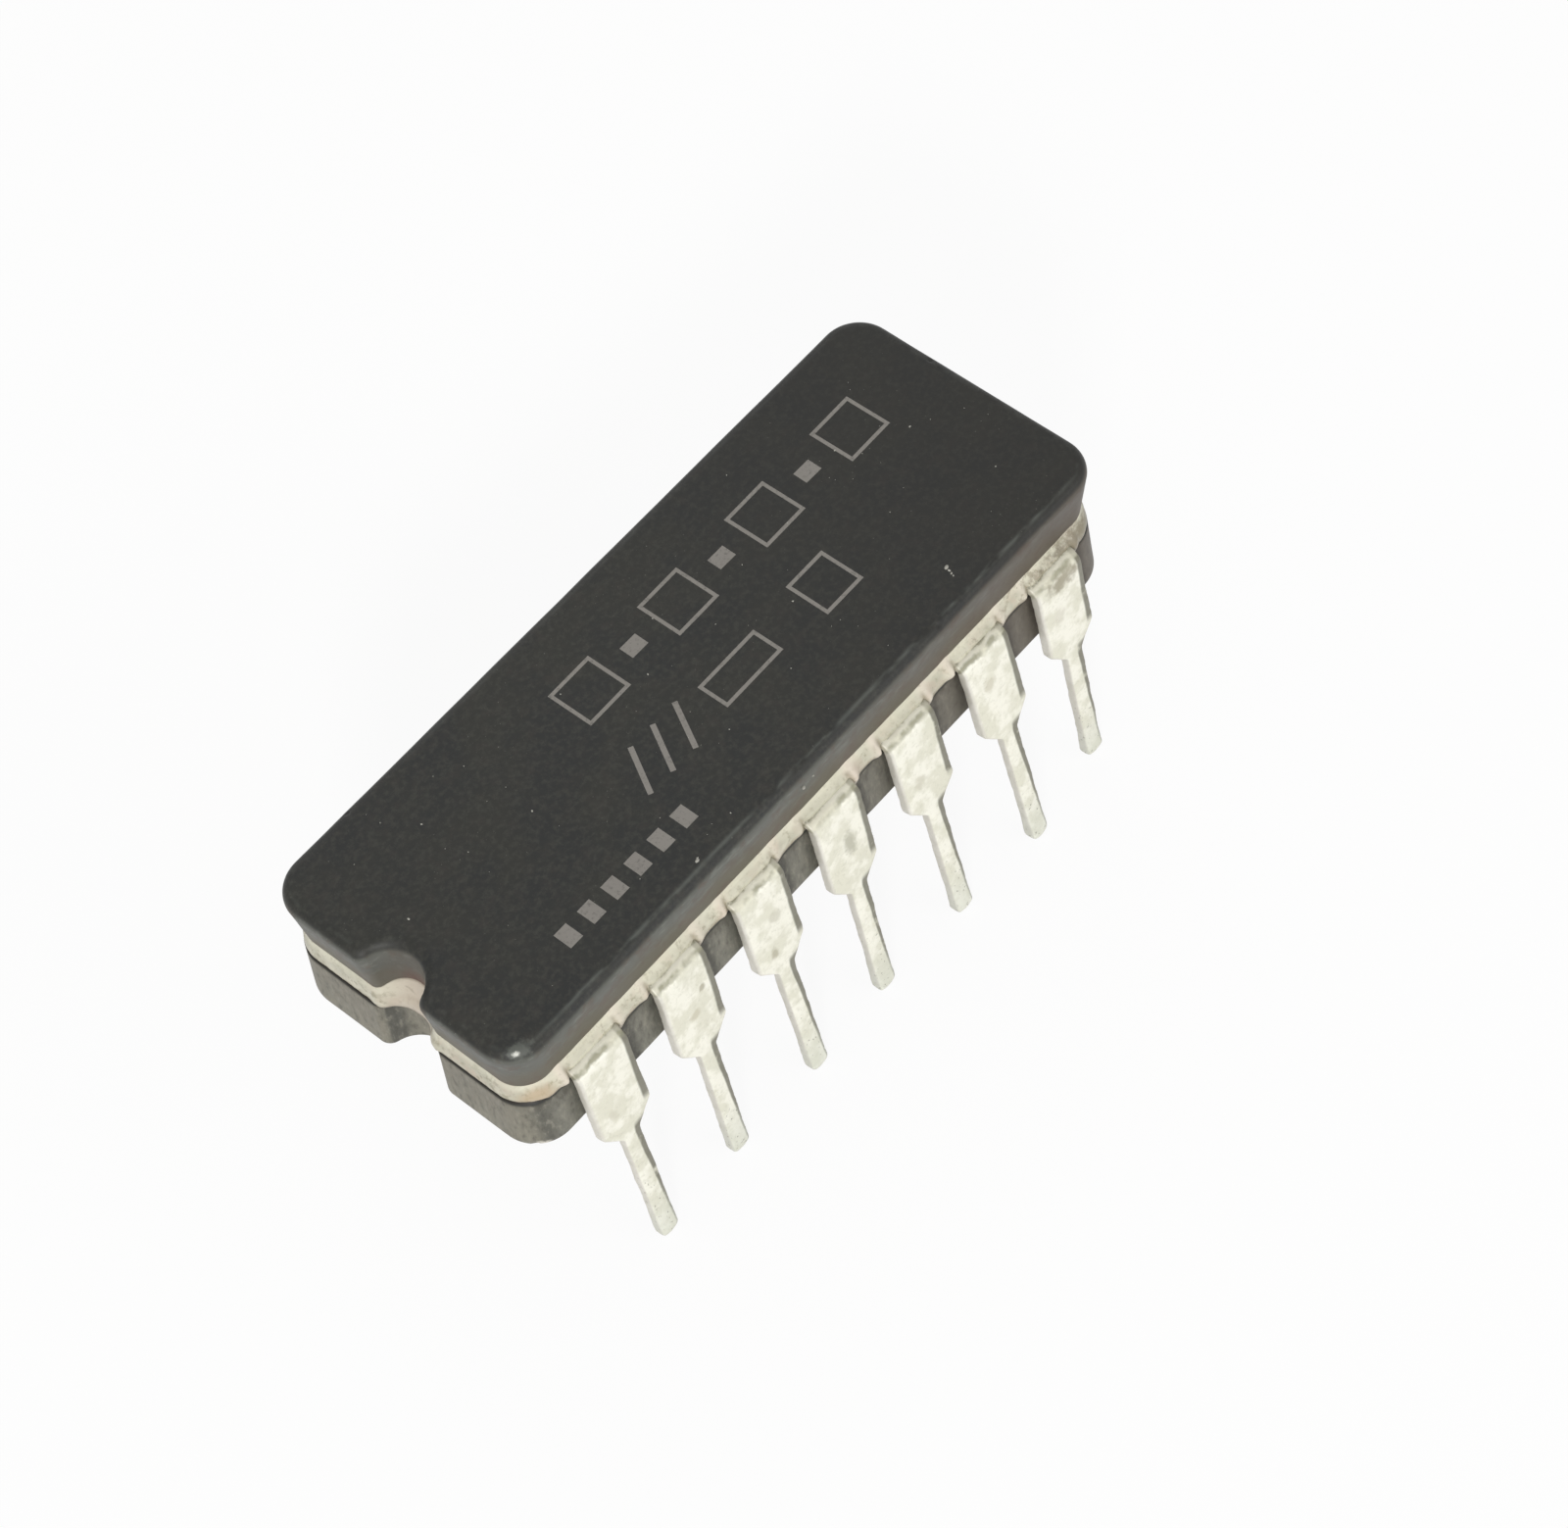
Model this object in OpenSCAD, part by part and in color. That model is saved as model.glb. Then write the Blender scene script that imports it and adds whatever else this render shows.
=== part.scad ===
// Dual-in-line integrated circuit in a glass-sealed ceramic body, with fourteen leads in two rows.
// Millimetres. The origin is at the middle of the footprint, level with the lead tips.
// +X runs along the body away from the end notch, +Z is up, and lead 1 is at the notch on the -Y side.

/* [Lead rows] */
// Leads in each row
leads_per_row = 7; // [4:1:7]
// Distance from one lead to the next along a row
pitch = 2.54; // [2.2:0.02:2.8]
// Distance from the body's side out to the middle of the metal at the bend
lead_standoff = 0.16; // [0.14:0.01:0.5]
// Thickness of the lead metal
lead_thickness = 0.25; // [0.2:0.01:0.3]
// Inner radius of the bend where a lead turns down
bend_radius = 0.15; // [0.1:0.01:0.18]
// Angle by which the row out of view spreads from the vertical, in degrees
row_spread = 7.2; // [0:0.1:10]

/* [Lead outline] */
// Width of the wide upper part of a lead
shoulder_width = 1.5; // [1.2:0.02:1.6]
// Width of the narrow pin
pin_width = 0.52; // [0.4:0.02:0.6]
// Height of the taper's upper end above the lead tips
shoulder_height = 4.5; // [4.3:0.05:4.7]
// Height of the taper's lower end above the lead tips
taper_height = 3.95; // [3.6:0.05:4.1]
// Radius at the two lower corners of the shoulder
shoulder_corner_r = 0.1; // [0.05:0.01:0.15]
// Radius where the taper meets the pin
pin_root_r = 0.12; // [0.05:0.01:0.2]
// Roundness of the pin's tip, as a share of half its width
tip_roundness = 0.9; // [0.3:0.05:0.95]

/* [Ceramic body] */
// Length of body beyond the middle of the last lead, at each end
end_overhang = 2.055; // [1.8:0.02:2.4]
// Width of the body across its widest faces
body_width = 7.3; // [7.1:0.02:7.38]
// Space below the body down to the lead tips
body_clearance = 4.85; // [4.75:0.05:5.6]
// Thickness of the ceramic base
base_height = 1.78; // [1.5:0.02:2]
// Thickness of the ceramic cap
cap_height = 1.74; // [1.5:0.02:2]
// Slope of the base's sides, narrower towards the seal, in degrees
base_draft = 3; // [1:0.5:6]
// Slope of the cap's sides, narrower towards the seal, in degrees
cap_draft = 9; // [4:0.5:10]
// Radius of the body's corners seen from above
corner_r = 0.95; // [0.8:0.05:1.1]
// Rounding round the top face of the cap
cap_edge_r = 0.3; // [0.15:0.01:0.4]
// Rounding round the underside of the base
base_edge_r = 0.18; // [0.1:0.01:0.25]

/* [End notch] */
// Radius of the half-round notch that marks the end of lead 1
notch_r = 0.8; // [0.6:0.05:0.95]
// Rounding of the notch's two lips
notch_lip_r = 0.3; // [0.2:0.02:0.4]
// Depth of the crescent of glass that stands in the notch
notch_glass = 0.3; // [0.1:0.02:0.4]
// Distance that this glass runs up the cap's notch
notch_creep = 0.5; // [0.2:0.05:0.8]

/* [Glass seal] */
// Glass between the base and the metal
glass_below = 0.08; // [0.05:0.01:0.12]
// Glass between the metal and the cap
glass_above = 0.09; // [0.06:0.01:0.12]
// Distance that the glass runs up the cap's side
glass_creep = 0.16; // [0.08:0.02:0.3]
// Thickness of the glass at its top, against the cap's side
glass_lip = 0.05; // [0.04:0.01:0.08]
// Distance from the base's upper edge back to the glass
glass_setback = 0.02; // [0.01:0.01:0.05]
// Distance that the collars of glass reach out along the leads
collar_reach = 0.14; // [0.08:0.01:0.16]
// Glass beside the lead at the root of a collar
collar_side = 0.2; // [0.1:0.02:0.3]
// Glass beside the lead at the outer end of a collar
collar_lip = 0.07; // [0.03:0.01:0.1]
// Glass on top of the lead at the outer end of a collar
collar_cover = 0.03; // [0.02:0.01:0.06]

/* [Inside] */
// Length of the well in the base that holds the chip
well_length = 7; // [6:0.1:7.6]
// Width of the well
well_width = 3.6; // [3:0.1:3.8]
// Depth of the well
well_depth = 0.55; // [0.5:0.01:0.7]
// Depth of the matching hollow in the cap
cap_hollow_depth = 0.55; // [0.4:0.01:0.7]
// Radius of the corners of the well and of the hollow
well_corner_r = 0.4; // [0.2:0.05:0.6]
// Width of the ledge round the well on which the lead ends lie bare
ledge = 0.5; // [0.4:0.02:0.6]
// Gap from the edge of the well to a lead's inner end
finger_setback = 0.1; // [0.05:0.01:0.14]
// Length of a lead's full width inside the body's edge
neck_length = 0.35; // [0.25:0.05:0.45]
// Length over which a lead then narrows
neck_taper = 0.35; // [0.25:0.05:0.45]
// Length over which the four leads at the corners narrow
corner_taper = 0.9; // [0.7:0.05:1.1]
// Width of a lead where it runs through the glass
finger_width = 0.7; // [0.5:0.02:0.8]
// Width of a lead's inner end
finger_tip_width = 0.45; // [0.35:0.01:0.5]
// Distance between the inner ends along the well's long side
finger_pitch = 1.3; // [1.1:0.05:1.35]
// Distance from the body's middle line to the inner ends at the well's short sides
end_finger_y = 0.85; // [0.7:0.05:1]
// Straight run of those inner ends
end_finger_run = 1.6; // [1.2:0.1:1.8]
// Length of the silicon chip
die_length = 2.6; // [2:0.1:3.2]
// Width of the silicon chip
die_width = 1.9; // [1.5:0.1:2.2]
// Thickness of the silicon chip
die_thickness = 0.33; // [0.25:0.01:0.38]
// Thickness of the metal layer that holds the chip down
attach_thickness = 0.04; // [0.03:0.01:0.06]
// Distance that the metal layer shows round the chip
attach_margin = 0.15; // [0.05:0.01:0.2]
// Distance from the chip's edge to the middle of its row of wire landings
pad_inset = 0.12; // [0.08:0.01:0.16]
// Distance from a lead's inner end to the middle of its wire landing
landing_inset = 0.15; // [0.1:0.01:0.25]
// Diameter of a bond wire
wire_d = 0.034; // [0.03:0.001:0.05]
// Length of a wire that lies flat on each landing
wire_foot = 0.1; // [0.06:0.01:0.15]
// Height of a wire's loop above the leads
loop_height = 0.22; // [0.15:0.01:0.3]
// Lean of the loop towards the chip
loop_lean = 0.25; // [0:0.05:0.4]

/* [Hidden] */

// Spread of each lead in the row in view, from the vertical, in degrees
spread = [8.1, 7.1, 7.6, 6.6, 7.5, 8.8, 4.9];
// Lean of each lead in the row in view, towards +X, in degrees
lean = [-1.4, -1.4, -0.4, -0.8, 0.3, 0.6, 0.9];

row_spacing = body_width + 2 * lead_standoff;
row_length = (leads_per_row - 1) * pitch;
middle = (leads_per_row + 1) / 2;
body_length = row_length + 2 * end_overhang;
seal_height = glass_below + lead_thickness + glass_above;
base_bottom = body_clearance;
base_top = base_bottom + base_height;
cap_bottom = base_top + seal_height;
cap_top = cap_bottom + cap_height;
lead_bottom = base_top + glass_below;
lead_top = lead_bottom + lead_thickness;
lead_mid = (lead_bottom + lead_top) / 2;
base_inset = (base_height - base_edge_r) * tan(base_draft);
cap_inset = (cap_height - cap_edge_r) * tan(cap_draft);
bend_mid_r = bend_radius + lead_thickness / 2;
bend_y = row_spacing / 2 - bend_mid_r;
bend_drop = lead_mid - bend_mid_r;
finger_start = body_width / 2 - base_inset - neck_length;
well_floor = base_top - well_depth;
attach_top = well_floor + attach_thickness;
die_top = attach_top + die_thickness;
// Sides and steps of round forms
wire_sides = 6;
loop_steps = 10;
corner_fn = 56;
edge_steps = 5;
arc_steps = 4;
round_fn = 48;
// Length by which a cut runs past what it cuts
clean_cut = 1;
ceramic_dark = "#3b3b37";
glass_cream = "#ddd5c4";
tin = "#e6e5d8";
silicon = "#4a4f5c";
gold_alloy = "#c9a550";
wire_grey = "#c8c8cc";

function points(n) = [for (i = [0:n]) i / n];
function unit(v) = v / norm(v);
function left_of(v) = [-v[1], v[0]];
function segment(path, i) = unit(path[i + 1] - path[i]);
function side_at(path, i) =
    i == 0 ? left_of(segment(path, 0)) :
    i == len(path) - 1 ? left_of(segment(path, i - 1)) :
    let (a = left_of(segment(path, i - 1)), b = left_of(segment(path, i)), m = unit(a + b)) m / (m * a);

// Outline of a flat strip that follows a path, with a width at each of the path's points
function strip(path, widths) = concat(
    [for (i = [0:len(path) - 1]) path[i] + side_at(path, i) * widths[i] / 2],
    [for (i = [len(path) - 1:-1:0]) path[i] - side_at(path, i) * widths[i] / 2]
);

// One of the four corners of a ceramic half: a drafted, rounded turning whose wide end is at z = 0
module corner_turning(height, inset, edge_r) {
    arc = [for (t = points(edge_steps))
        [corner_r - edge_r * (1 - sin(90 * t)), edge_r * (1 - cos(90 * t))]];
    rotate_extrude($fn = corner_fn)
        polygon(concat([[0, 0]], arc, [[corner_r - inset, height], [0, height]]));
}

// A ceramic half with its wide face down at z = 0
module ceramic_half(height, inset, edge_r) {
    hull()
        for (x = [-1, 1], y = [-1, 1])
            translate([x * (body_length / 2 - corner_r), y * (body_width / 2 - corner_r), 0])
                corner_turning(height, inset, edge_r);
}

// Rectangle with round corners
module round_rectangle(length, width, r) {
    square([length - 2 * r, width], center = true);
    square([length, width - 2 * r], center = true);
    for (x = [-1, 1], y = [-1, 1])
        translate([x * (length / 2 - r), y * (width / 2 - r)])
            circle(r = r, $fn = round_fn);
}

// Plan of the notch: a half circle on the end face, widened by the rounding of its lips
module notch_plan(end_x, r) {
    lip_y = sqrt(pow(r + notch_lip_r, 2) - pow(notch_lip_r, 2));
    difference() {
        union() {
            translate([end_x, 0])
                circle(r = r, $fn = round_fn);
            translate([end_x - clean_cut, -lip_y])
                square([clean_cut + notch_lip_r, 2 * lip_y]);
        }
        for (y = [-lip_y, lip_y])
            translate([end_x + notch_lip_r, y])
                circle(r = notch_lip_r, $fn = round_fn);
    }
}

module notch(z_low, z_high) {
    translate([0, 0, z_low])
        linear_extrude(z_high - z_low)
            notch_plan(-body_length / 2, notch_r);
}

// Pressed ceramic base with the well for the chip
module ceramic_base() {
    color(ceramic_dark)
        difference() {
            translate([0, 0, base_bottom])
                ceramic_half(base_height, base_inset, base_edge_r);
            translate([0, 0, well_floor])
                linear_extrude(well_depth + clean_cut)
                    round_rectangle(well_length, well_width, well_corner_r);
            notch(base_bottom - clean_cut, base_top + clean_cut);
        }
}

// Outer form of the cap, which the glass also fits
module cap_form() {
    translate([0, 0, cap_top])
        mirror([0, 0, 1])
            ceramic_half(cap_height, cap_inset, cap_edge_r);
}

// Pressed ceramic cap with the hollow that clears the bond wires
module ceramic_cap() {
    color(ceramic_dark)
        difference() {
            cap_form();
            translate([0, 0, cap_bottom - clean_cut])
                linear_extrude(cap_hollow_depth + clean_cut)
                    round_rectangle(well_length + 2 * ledge, well_width + 2 * ledge, well_corner_r);
            notch(cap_bottom - clean_cut, cap_top + clean_cut);
        }
}

// Sloping outside of the glass, from the base's upper edge to a little way up the cap
module glass_form() {
    hull()
        for (x = [-1, 1], y = [-1, 1])
            translate([x * (body_length / 2 - corner_r), y * (body_width / 2 - corner_r), base_top])
                cylinder(
                    r1 = corner_r - base_inset - glass_setback,
                    r2 = corner_r - cap_inset + glass_lip,
                    h = seal_height + glass_creep,
                    $fn = corner_fn
                );
}

// Glass in the notch: a crescent in plan, and a slope that thins out up the cap's wall
module notch_crescent() {
    tip_angle = atan2(sqrt(pow(notch_r + notch_lip_r, 2) - pow(notch_lip_r, 2)), notch_lip_r);
    tip_x = notch_r * cos(tip_angle);
    tip_y = notch_r * sin(tip_angle);
    deep_x = notch_r - notch_glass;
    // centre of the circle through both tips and the crescent's inner edge
    hollow_x = (deep_x * deep_x - tip_x * tip_x - tip_y * tip_y) / (2 * (deep_x - tip_x));
    hollow_r = deep_x - hollow_x;
    rise = seal_height + notch_creep;
    translate([-body_length / 2, 0, base_top])
        intersection() {
            difference() {
                cylinder(r = notch_r, h = rise, $fn = round_fn);
                translate([hollow_x, 0, 0])
                    cylinder(r1 = hollow_r, r2 = hollow_r + notch_glass, h = rise, $fn = round_fn);
            }
            translate([tip_x, -notch_r, 0])
                cube([notch_r, 2 * notch_r, rise]);
        }
}

// Collar of glass round the root of one lead: its plan, cut to a sloping side view
module glass_collar(x) {
    root = body_width / 2 - base_inset - glass_setback;
    reach = root + collar_reach;
    back = root - collar_side;
    wide = shoulder_width / 2 + collar_side;
    narrow = shoulder_width / 2 + collar_lip;
    intersection() {
        translate([x, 0, base_top])
            linear_extrude(seal_height)
                polygon([
                    [-wide, -back], [-wide, -root], [-narrow, -reach],
                    [narrow, -reach], [wide, -root], [wide, -back]
                ]);
        translate([x - wide, 0, 0])
            rotate([90, 0, 90])
                linear_extrude(2 * wide)
                    polygon([
                        [-back, base_top], [-root, base_top], [-reach, lead_mid],
                        [-reach, lead_top + collar_cover], [-root, cap_bottom], [-back, cap_bottom]
                    ]);
    }
}

// Glass that joins base, leads and cap
module glass_seal() {
    color(glass_cream) {
        difference() {
            union() {
                glass_form();
                for (row = [0, 180], i = [1:leads_per_row])
                    rotate([0, 0, row])
                        glass_collar((i - middle) * pitch);
            }
            cap_form();
            translate([0, 0, base_top - clean_cut])
                linear_extrude(seal_height + 2 * clean_cut)
                    round_rectangle(well_length, well_width, well_corner_r);
            translate([0, 0, lead_top])
                linear_extrude(clean_cut)
                    round_rectangle(well_length + 2 * ledge, well_width + 2 * ledge, well_corner_r);
            for (i = [1:2 * leads_per_row])
                lead(i);
            notch(base_top - clean_cut, cap_top);
        }
        notch_crescent();
    }
}

// Leads count round the body: the row in view first, then back along the other row
function place_in_row(i) = (i - 1) % leads_per_row + 1;
function in_view(i) = i <= leads_per_row;
function spread_of(i) = in_view(i) ? spread[i - 1] : row_spread;
function lean_of(i) = in_view(i) ? lean[i - 1] : 0;

module in_row(i) {
    rotate([0, 0, in_view(i) ? 0 : 180])
        children();
}

// Run of a lead inside the body, from the bend to its inner end at the well
function end_lead(k) = k == 1 || k == leads_per_row;
function finger_path(k) =
    let (
        x = (k - middle) * pitch,
        away = sign(x),
        knee = finger_start - (end_lead(k) ? corner_taper : neck_taper)
    )
    concat(
        [[x, -bend_y], [x, -finger_start], [x, -knee]],
        end_lead(k) ?
            [
                [away * (well_length / 2 + finger_setback + end_finger_run), -end_finger_y],
                [away * (well_length / 2 + finger_setback), -end_finger_y]
            ] :
            [[(k - middle) * finger_pitch, -(well_width / 2 + finger_setback)]]
    );
function finger_widths(k) = concat(
    [shoulder_width, shoulder_width, finger_width],
    end_lead(k) ? [finger_width, finger_tip_width] : [finger_tip_width]
);
function finger_end(k) = let (p = finger_path(k)) p[len(p) - 1];
function finger_heading(k) = let (p = finger_path(k), n = len(p)) unit(p[n - 1] - p[n - 2]);

module finger(k) {
    translate([0, 0, lead_bottom])
        linear_extrude(lead_thickness)
            polygon(strip(finger_path(k), finger_widths(k)));
}

// Points of an arc of radius r that rounds the corner b between a and c
function corner_arc(a, b, c, r) =
    let (
        u = unit(a - b),
        v = unit(c - b),
        half = acos(u * v) / 2,
        centre = b + unit(u + v) * r / sin(half),
        from = b + u * r / tan(half) - centre,
        to = b + v * r / tan(half) - centre,
        turn = from[0] * to[1] - from[1] * to[0] > 0 ? 1 : -1,
        sweep = turn * (180 - 2 * half),
        start = atan2(from[1], from[0])
    )
    [for (t = points(arc_steps)) centre + r * [cos(start + sweep * t), sin(start + sweep * t)]];

// Shoulder, taper and pin in the flat: y runs down the leg from the end of the bend
module leg_plan(shoulder_end, taper_end, tip, tip_shift) {
    w = shoulder_width / 2;
    p = pin_width / 2;
    side = [
        [0, w, 0],
        [shoulder_end, w, shoulder_corner_r],
        [taper_end, p, pin_root_r],
        [tip, p, p * tip_roundness]
    ];
    right = [for (q = side) [q[1] + tip_shift * q[0] / tip, q[0]]];
    left = [for (q = side) [-q[1] + tip_shift * q[0] / tip, q[0]]];
    outline = concat(right, [for (i = [3:-1:0]) left[i]]);
    radii = [for (i = [0:7]) side[i < 4 ? i : 7 - i][2]];
    polygon([for (i = [0:7])
        each radii[i] == 0 ?
            [outline[i]] :
            corner_arc(outline[i - 1], outline[i], outline[(i + 1) % 8], radii[i])]);
}

// One lead: finger in the glass, bend, and leg spread from the vertical
module lead(i) {
    k = place_in_row(i);
    a = spread_of(i);
    // height of the bend's end, and the leg's length from there to the ground
    start_z = lead_mid - bend_mid_r * (1 - sin(a));
    leg = (start_z - lead_thickness / 2 * sin(a)) / cos(a);
    color(tin)
        in_row(i) {
            finger(k);
            translate([(k - middle) * pitch, -bend_y, bend_drop])
                rotate([180, -90, 0]) {
                    rotate_extrude(angle = 90 - a, $fn = round_fn)
                        translate([bend_radius, -shoulder_width / 2])
                            square([lead_thickness, shoulder_width]);
                    rotate([0, 0, 90 - a])
                        translate([bend_radius + lead_thickness, 0, 0])
                            rotate([0, -90, 0])
                                linear_extrude(lead_thickness)
                                    leg_plan(
                                        (start_z - shoulder_height) / cos(a),
                                        (start_z - taper_height) / cos(a),
                                        leg,
                                        leg * tan(lean_of(i))
                                    );
                }
        }
}

// Silicon chip
module die() {
    color(silicon)
        translate([0, 0, attach_top + die_thickness / 2])
            cube([die_length, die_width, die_thickness], center = true);
}

// Metal layer between the chip and the well's floor, a little wider than the chip
module die_attach() {
    rim = 2 * attach_margin;
    color(gold_alloy)
        translate([0, 0, well_floor + attach_thickness / 2])
            cube([die_length + rim, die_width + rim, attach_thickness], center = true);
}

// Landings of the bond wires on the chip and on the leads
function pad(k) = [
    (die_length / 2 - pad_inset) * (k - middle) / (middle - 1),
    -(end_lead(k) ? die_width / 4 : die_width / 2 - pad_inset)
];
function landing(k) = finger_end(k) - finger_heading(k) * landing_inset;

// Middle line of a bond wire: flat on the pad, over in an arc, flat on the lead
function wire_line(k) =
    let (
        lift = wire_d / 2 * cos(180 / wire_sides),
        a = pad(k),
        b = landing(k),
        dir = unit(b - a),
        span = norm(b - a),
        za = die_top + lift,
        zb = lead_top + lift,
        top = zb + loop_height,
        bow = [for (t = points(loop_steps))
            let (
                s = wire_foot + (span - 2 * wire_foot) * t,
                level = za + (zb - za) * t,
                peak = top - (za + zb) / 2,
                lean_in = 1 + loop_lean * (1 - 2 * t)
            )
            [a[0] + dir[0] * s, a[1] + dir[1] * s, level + peak * 4 * t * (1 - t) * lean_in]]
    )
    concat([[a[0], a[1], za]], bow, [[b[0], b[1], zb]]);

function wire_ring(line, i) =
    let (
        n = len(line) - 1,
        along = unit(line[min(i + 1, n)] - line[max(i - 1, 0)]),
        flat_end = i <= 0 || i >= n,
        across = unit([-along[1], along[0], 0]),
        up = flat_end ? [0, 0, 1] : cross(along, across)
    )
    [for (s = [0:wire_sides - 1])
        let (t = 360 * (s + 0.5) / wire_sides - 90)
        line[i] + wire_d / 2 * (across * cos(t) + up * sin(t))];

module bond_wire(i) {
    line = wire_line(place_in_row(i));
    rings = len(line);
    n = wire_sides;
    color(wire_grey)
        in_row(i)
            polyhedron(
                points = [for (r = [0:rings - 1]) each wire_ring(line, r)],
                faces = concat(
                    [[for (s = [0:n - 1]) s]],
                    [for (r = [0:rings - 2], s = [0:n - 1])
                        [r * n + s, (r + 1) * n + s, (r + 1) * n + (s + 1) % n, r * n + (s + 1) % n]],
                    [[for (s = [n - 1:-1:0]) (rings - 1) * n + s]]
                )
            );
}

ceramic_base();
ceramic_cap();
glass_seal();
die();
die_attach();
for (i = [1:2 * leads_per_row])
    lead(i);
for (i = [1:2 * leads_per_row])
    bond_wire(i);
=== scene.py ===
"""Dual-in-line integrated circuit in a glass-sealed ceramic body, dressed for a studio picture.

Makers work in millimetres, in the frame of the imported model, and MM turns their points into metres.
Lead 1 is beside the end notch, on the side that faces the camera, and the notch is at the -X end.
"""

import math

import bmesh
import bpy
import numpy as np
from mathutils import Matrix, Vector, noise


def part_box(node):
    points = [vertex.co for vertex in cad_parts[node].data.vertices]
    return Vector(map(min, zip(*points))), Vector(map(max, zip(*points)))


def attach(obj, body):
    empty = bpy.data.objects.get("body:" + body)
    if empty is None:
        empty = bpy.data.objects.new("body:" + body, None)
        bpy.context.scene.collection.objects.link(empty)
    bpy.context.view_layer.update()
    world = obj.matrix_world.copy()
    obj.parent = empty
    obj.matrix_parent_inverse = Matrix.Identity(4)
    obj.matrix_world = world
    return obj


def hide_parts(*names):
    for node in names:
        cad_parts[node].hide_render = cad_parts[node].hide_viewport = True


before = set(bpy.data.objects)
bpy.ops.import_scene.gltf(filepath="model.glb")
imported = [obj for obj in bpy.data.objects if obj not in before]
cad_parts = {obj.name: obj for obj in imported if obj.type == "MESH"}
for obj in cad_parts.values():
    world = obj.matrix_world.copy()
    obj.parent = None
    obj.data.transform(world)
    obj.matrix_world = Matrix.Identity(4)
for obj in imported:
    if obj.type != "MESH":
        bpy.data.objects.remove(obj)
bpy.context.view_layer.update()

MM = 0.001

# Camera, fitted to the body's corners and the lead tips of the photograph
CAMERA_AZIMUTH = math.radians(-130)
CAMERA_ELEVATION = math.radians(57)
CAMERA_ROLL = math.radians(-11.0)
CAMERA_DISTANCE = 92
CAMERA_AIM = Vector((-0.09, -2.55, 7.49))
CAMERA_LENS = 98.1


def box_of(node):
    """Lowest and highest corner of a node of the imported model, in millimetres."""
    low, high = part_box(node)
    return low / MM, high / MM


# Ceramic body, as in the model's own sizes
CAP_LOW, CAP_HIGH = box_of("ceramic_cap")
BASE_LOW, BASE_HIGH = box_of("ceramic_base")
BODY_LENGTH = CAP_HIGH.x - CAP_LOW.x
BODY_WIDTH = CAP_HIGH.y - CAP_LOW.y
CORNER_R = 0.95
CAP_DRAFT = math.radians(9)
BASE_DRAFT = math.radians(3)
CAP_EDGE_R = 0.3
BASE_EDGE_R = 0.18
CAP_INSET = (CAP_HIGH.z - CAP_LOW.z - CAP_EDGE_R) * math.tan(CAP_DRAFT)
BASE_INSET = (BASE_HIGH.z - BASE_LOW.z - BASE_EDGE_R) * math.tan(BASE_DRAFT)
NOTCH_R = 0.8
NOTCH_LIP_R = 0.3
# Length, width and corner radius of the well, and of the wider window over it
WELL = (7.0, 3.6, 0.4)
LEDGE = 0.5
WINDOW = (WELL[0] + 2 * LEDGE, WELL[1] + 2 * LEDGE, WELL[2])
WELL_DEPTH = 0.55

# Leads
LEADS_PER_ROW = 7
PITCH = 2.54
METAL = 0.25
BEND_MID_R = 0.275
BEND_Y = BODY_WIDTH / 2 + 0.16 - BEND_MID_R
LEAD_TOP = box_of("lead_4")[1].z
LEAD_MID = LEAD_TOP - METAL / 2
SHOULDER_WIDTH = 1.5
PIN_WIDTH = 0.52
SHOULDER_HEIGHT = 4.5
TAPER_HEIGHT = 3.95
SPREAD = (8.1, 7.1, 7.6, 6.6, 7.5, 8.8, 4.9)
LEAN = (-1.4, -1.4, -0.4, -0.8, 0.3, 0.6, 0.9)
BACK_SPREAD = 7.2


def lead_x(place):
    """Middle of the lead at a place along the front row, 0 to 6."""
    return (place - (LEADS_PER_ROW - 1) / 2) * PITCH


# Nodes, and formulas in node trees


class Term:
    """A socket of a node tree that can be added, multiplied and so on, as in a formula."""

    def __init__(self, tree, socket):
        self.tree = tree
        self.socket = socket

    def math(self, operation, *others):
        values = (self, *others)
        node = node_in_order(self.tree, "ShaderNodeMath", values, operation=operation)
        return Term(self.tree, node.outputs[0])

    def __add__(self, other):
        return self.math("ADD", other)

    def __sub__(self, other):
        return self.math("SUBTRACT", other)

    def __mul__(self, other):
        return self.math("MULTIPLY", other)

    def __truediv__(self, other):
        return self.math("DIVIDE", other)

    __radd__ = __add__
    __rmul__ = __mul__

    def __rsub__(self, other):
        return (self * -1) + other

    def clip(self, low, high):
        return self.math("MAXIMUM", low).math("MINIMUM", high)

    def soft_step(self, start, end):
        """0 before start, 1 after end, and smooth between them."""
        node = node_in_order(
            self.tree, "ShaderNodeMapRange", (self, start, end), interpolation_type="SMOOTHSTEP"
        )
        return Term(self.tree, node.outputs[0])


def feed(tree, slot, value):
    """Puts a number, colour or vector on an input, or links a term, coat or output to it.

    A node stands for its first output.
    """
    if isinstance(value, bpy.types.Node):
        value = value.outputs[0]
    if isinstance(value, (Term, Coat)):
        value = value.socket
    if isinstance(value, bpy.types.NodeSocket):
        tree.links.new(value, slot)
    else:
        slot.default_value = value


def node_of(tree, kind, settings=None, **inputs):
    """A node with its settings and inputs set."""
    node = tree.nodes.new(kind)
    for name, value in (settings or {}).items():
        setattr(node, name, value)
    for name, value in inputs.items():
        feed(tree, node.inputs[name.replace("_", " ")], value)
    return node


def node_in_order(tree, kind, values, **settings):
    """A node with its settings, and its first inputs set in their order."""
    node = node_of(tree, kind, settings)
    for slot, value in zip(node.inputs, values):
        feed(tree, slot, value)
    return node


def vector_of(tree, *parts):
    """A vector from its x, y and z, which are numbers or terms."""
    return node_in_order(tree, "ShaderNodeCombineXYZ", parts)


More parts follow.
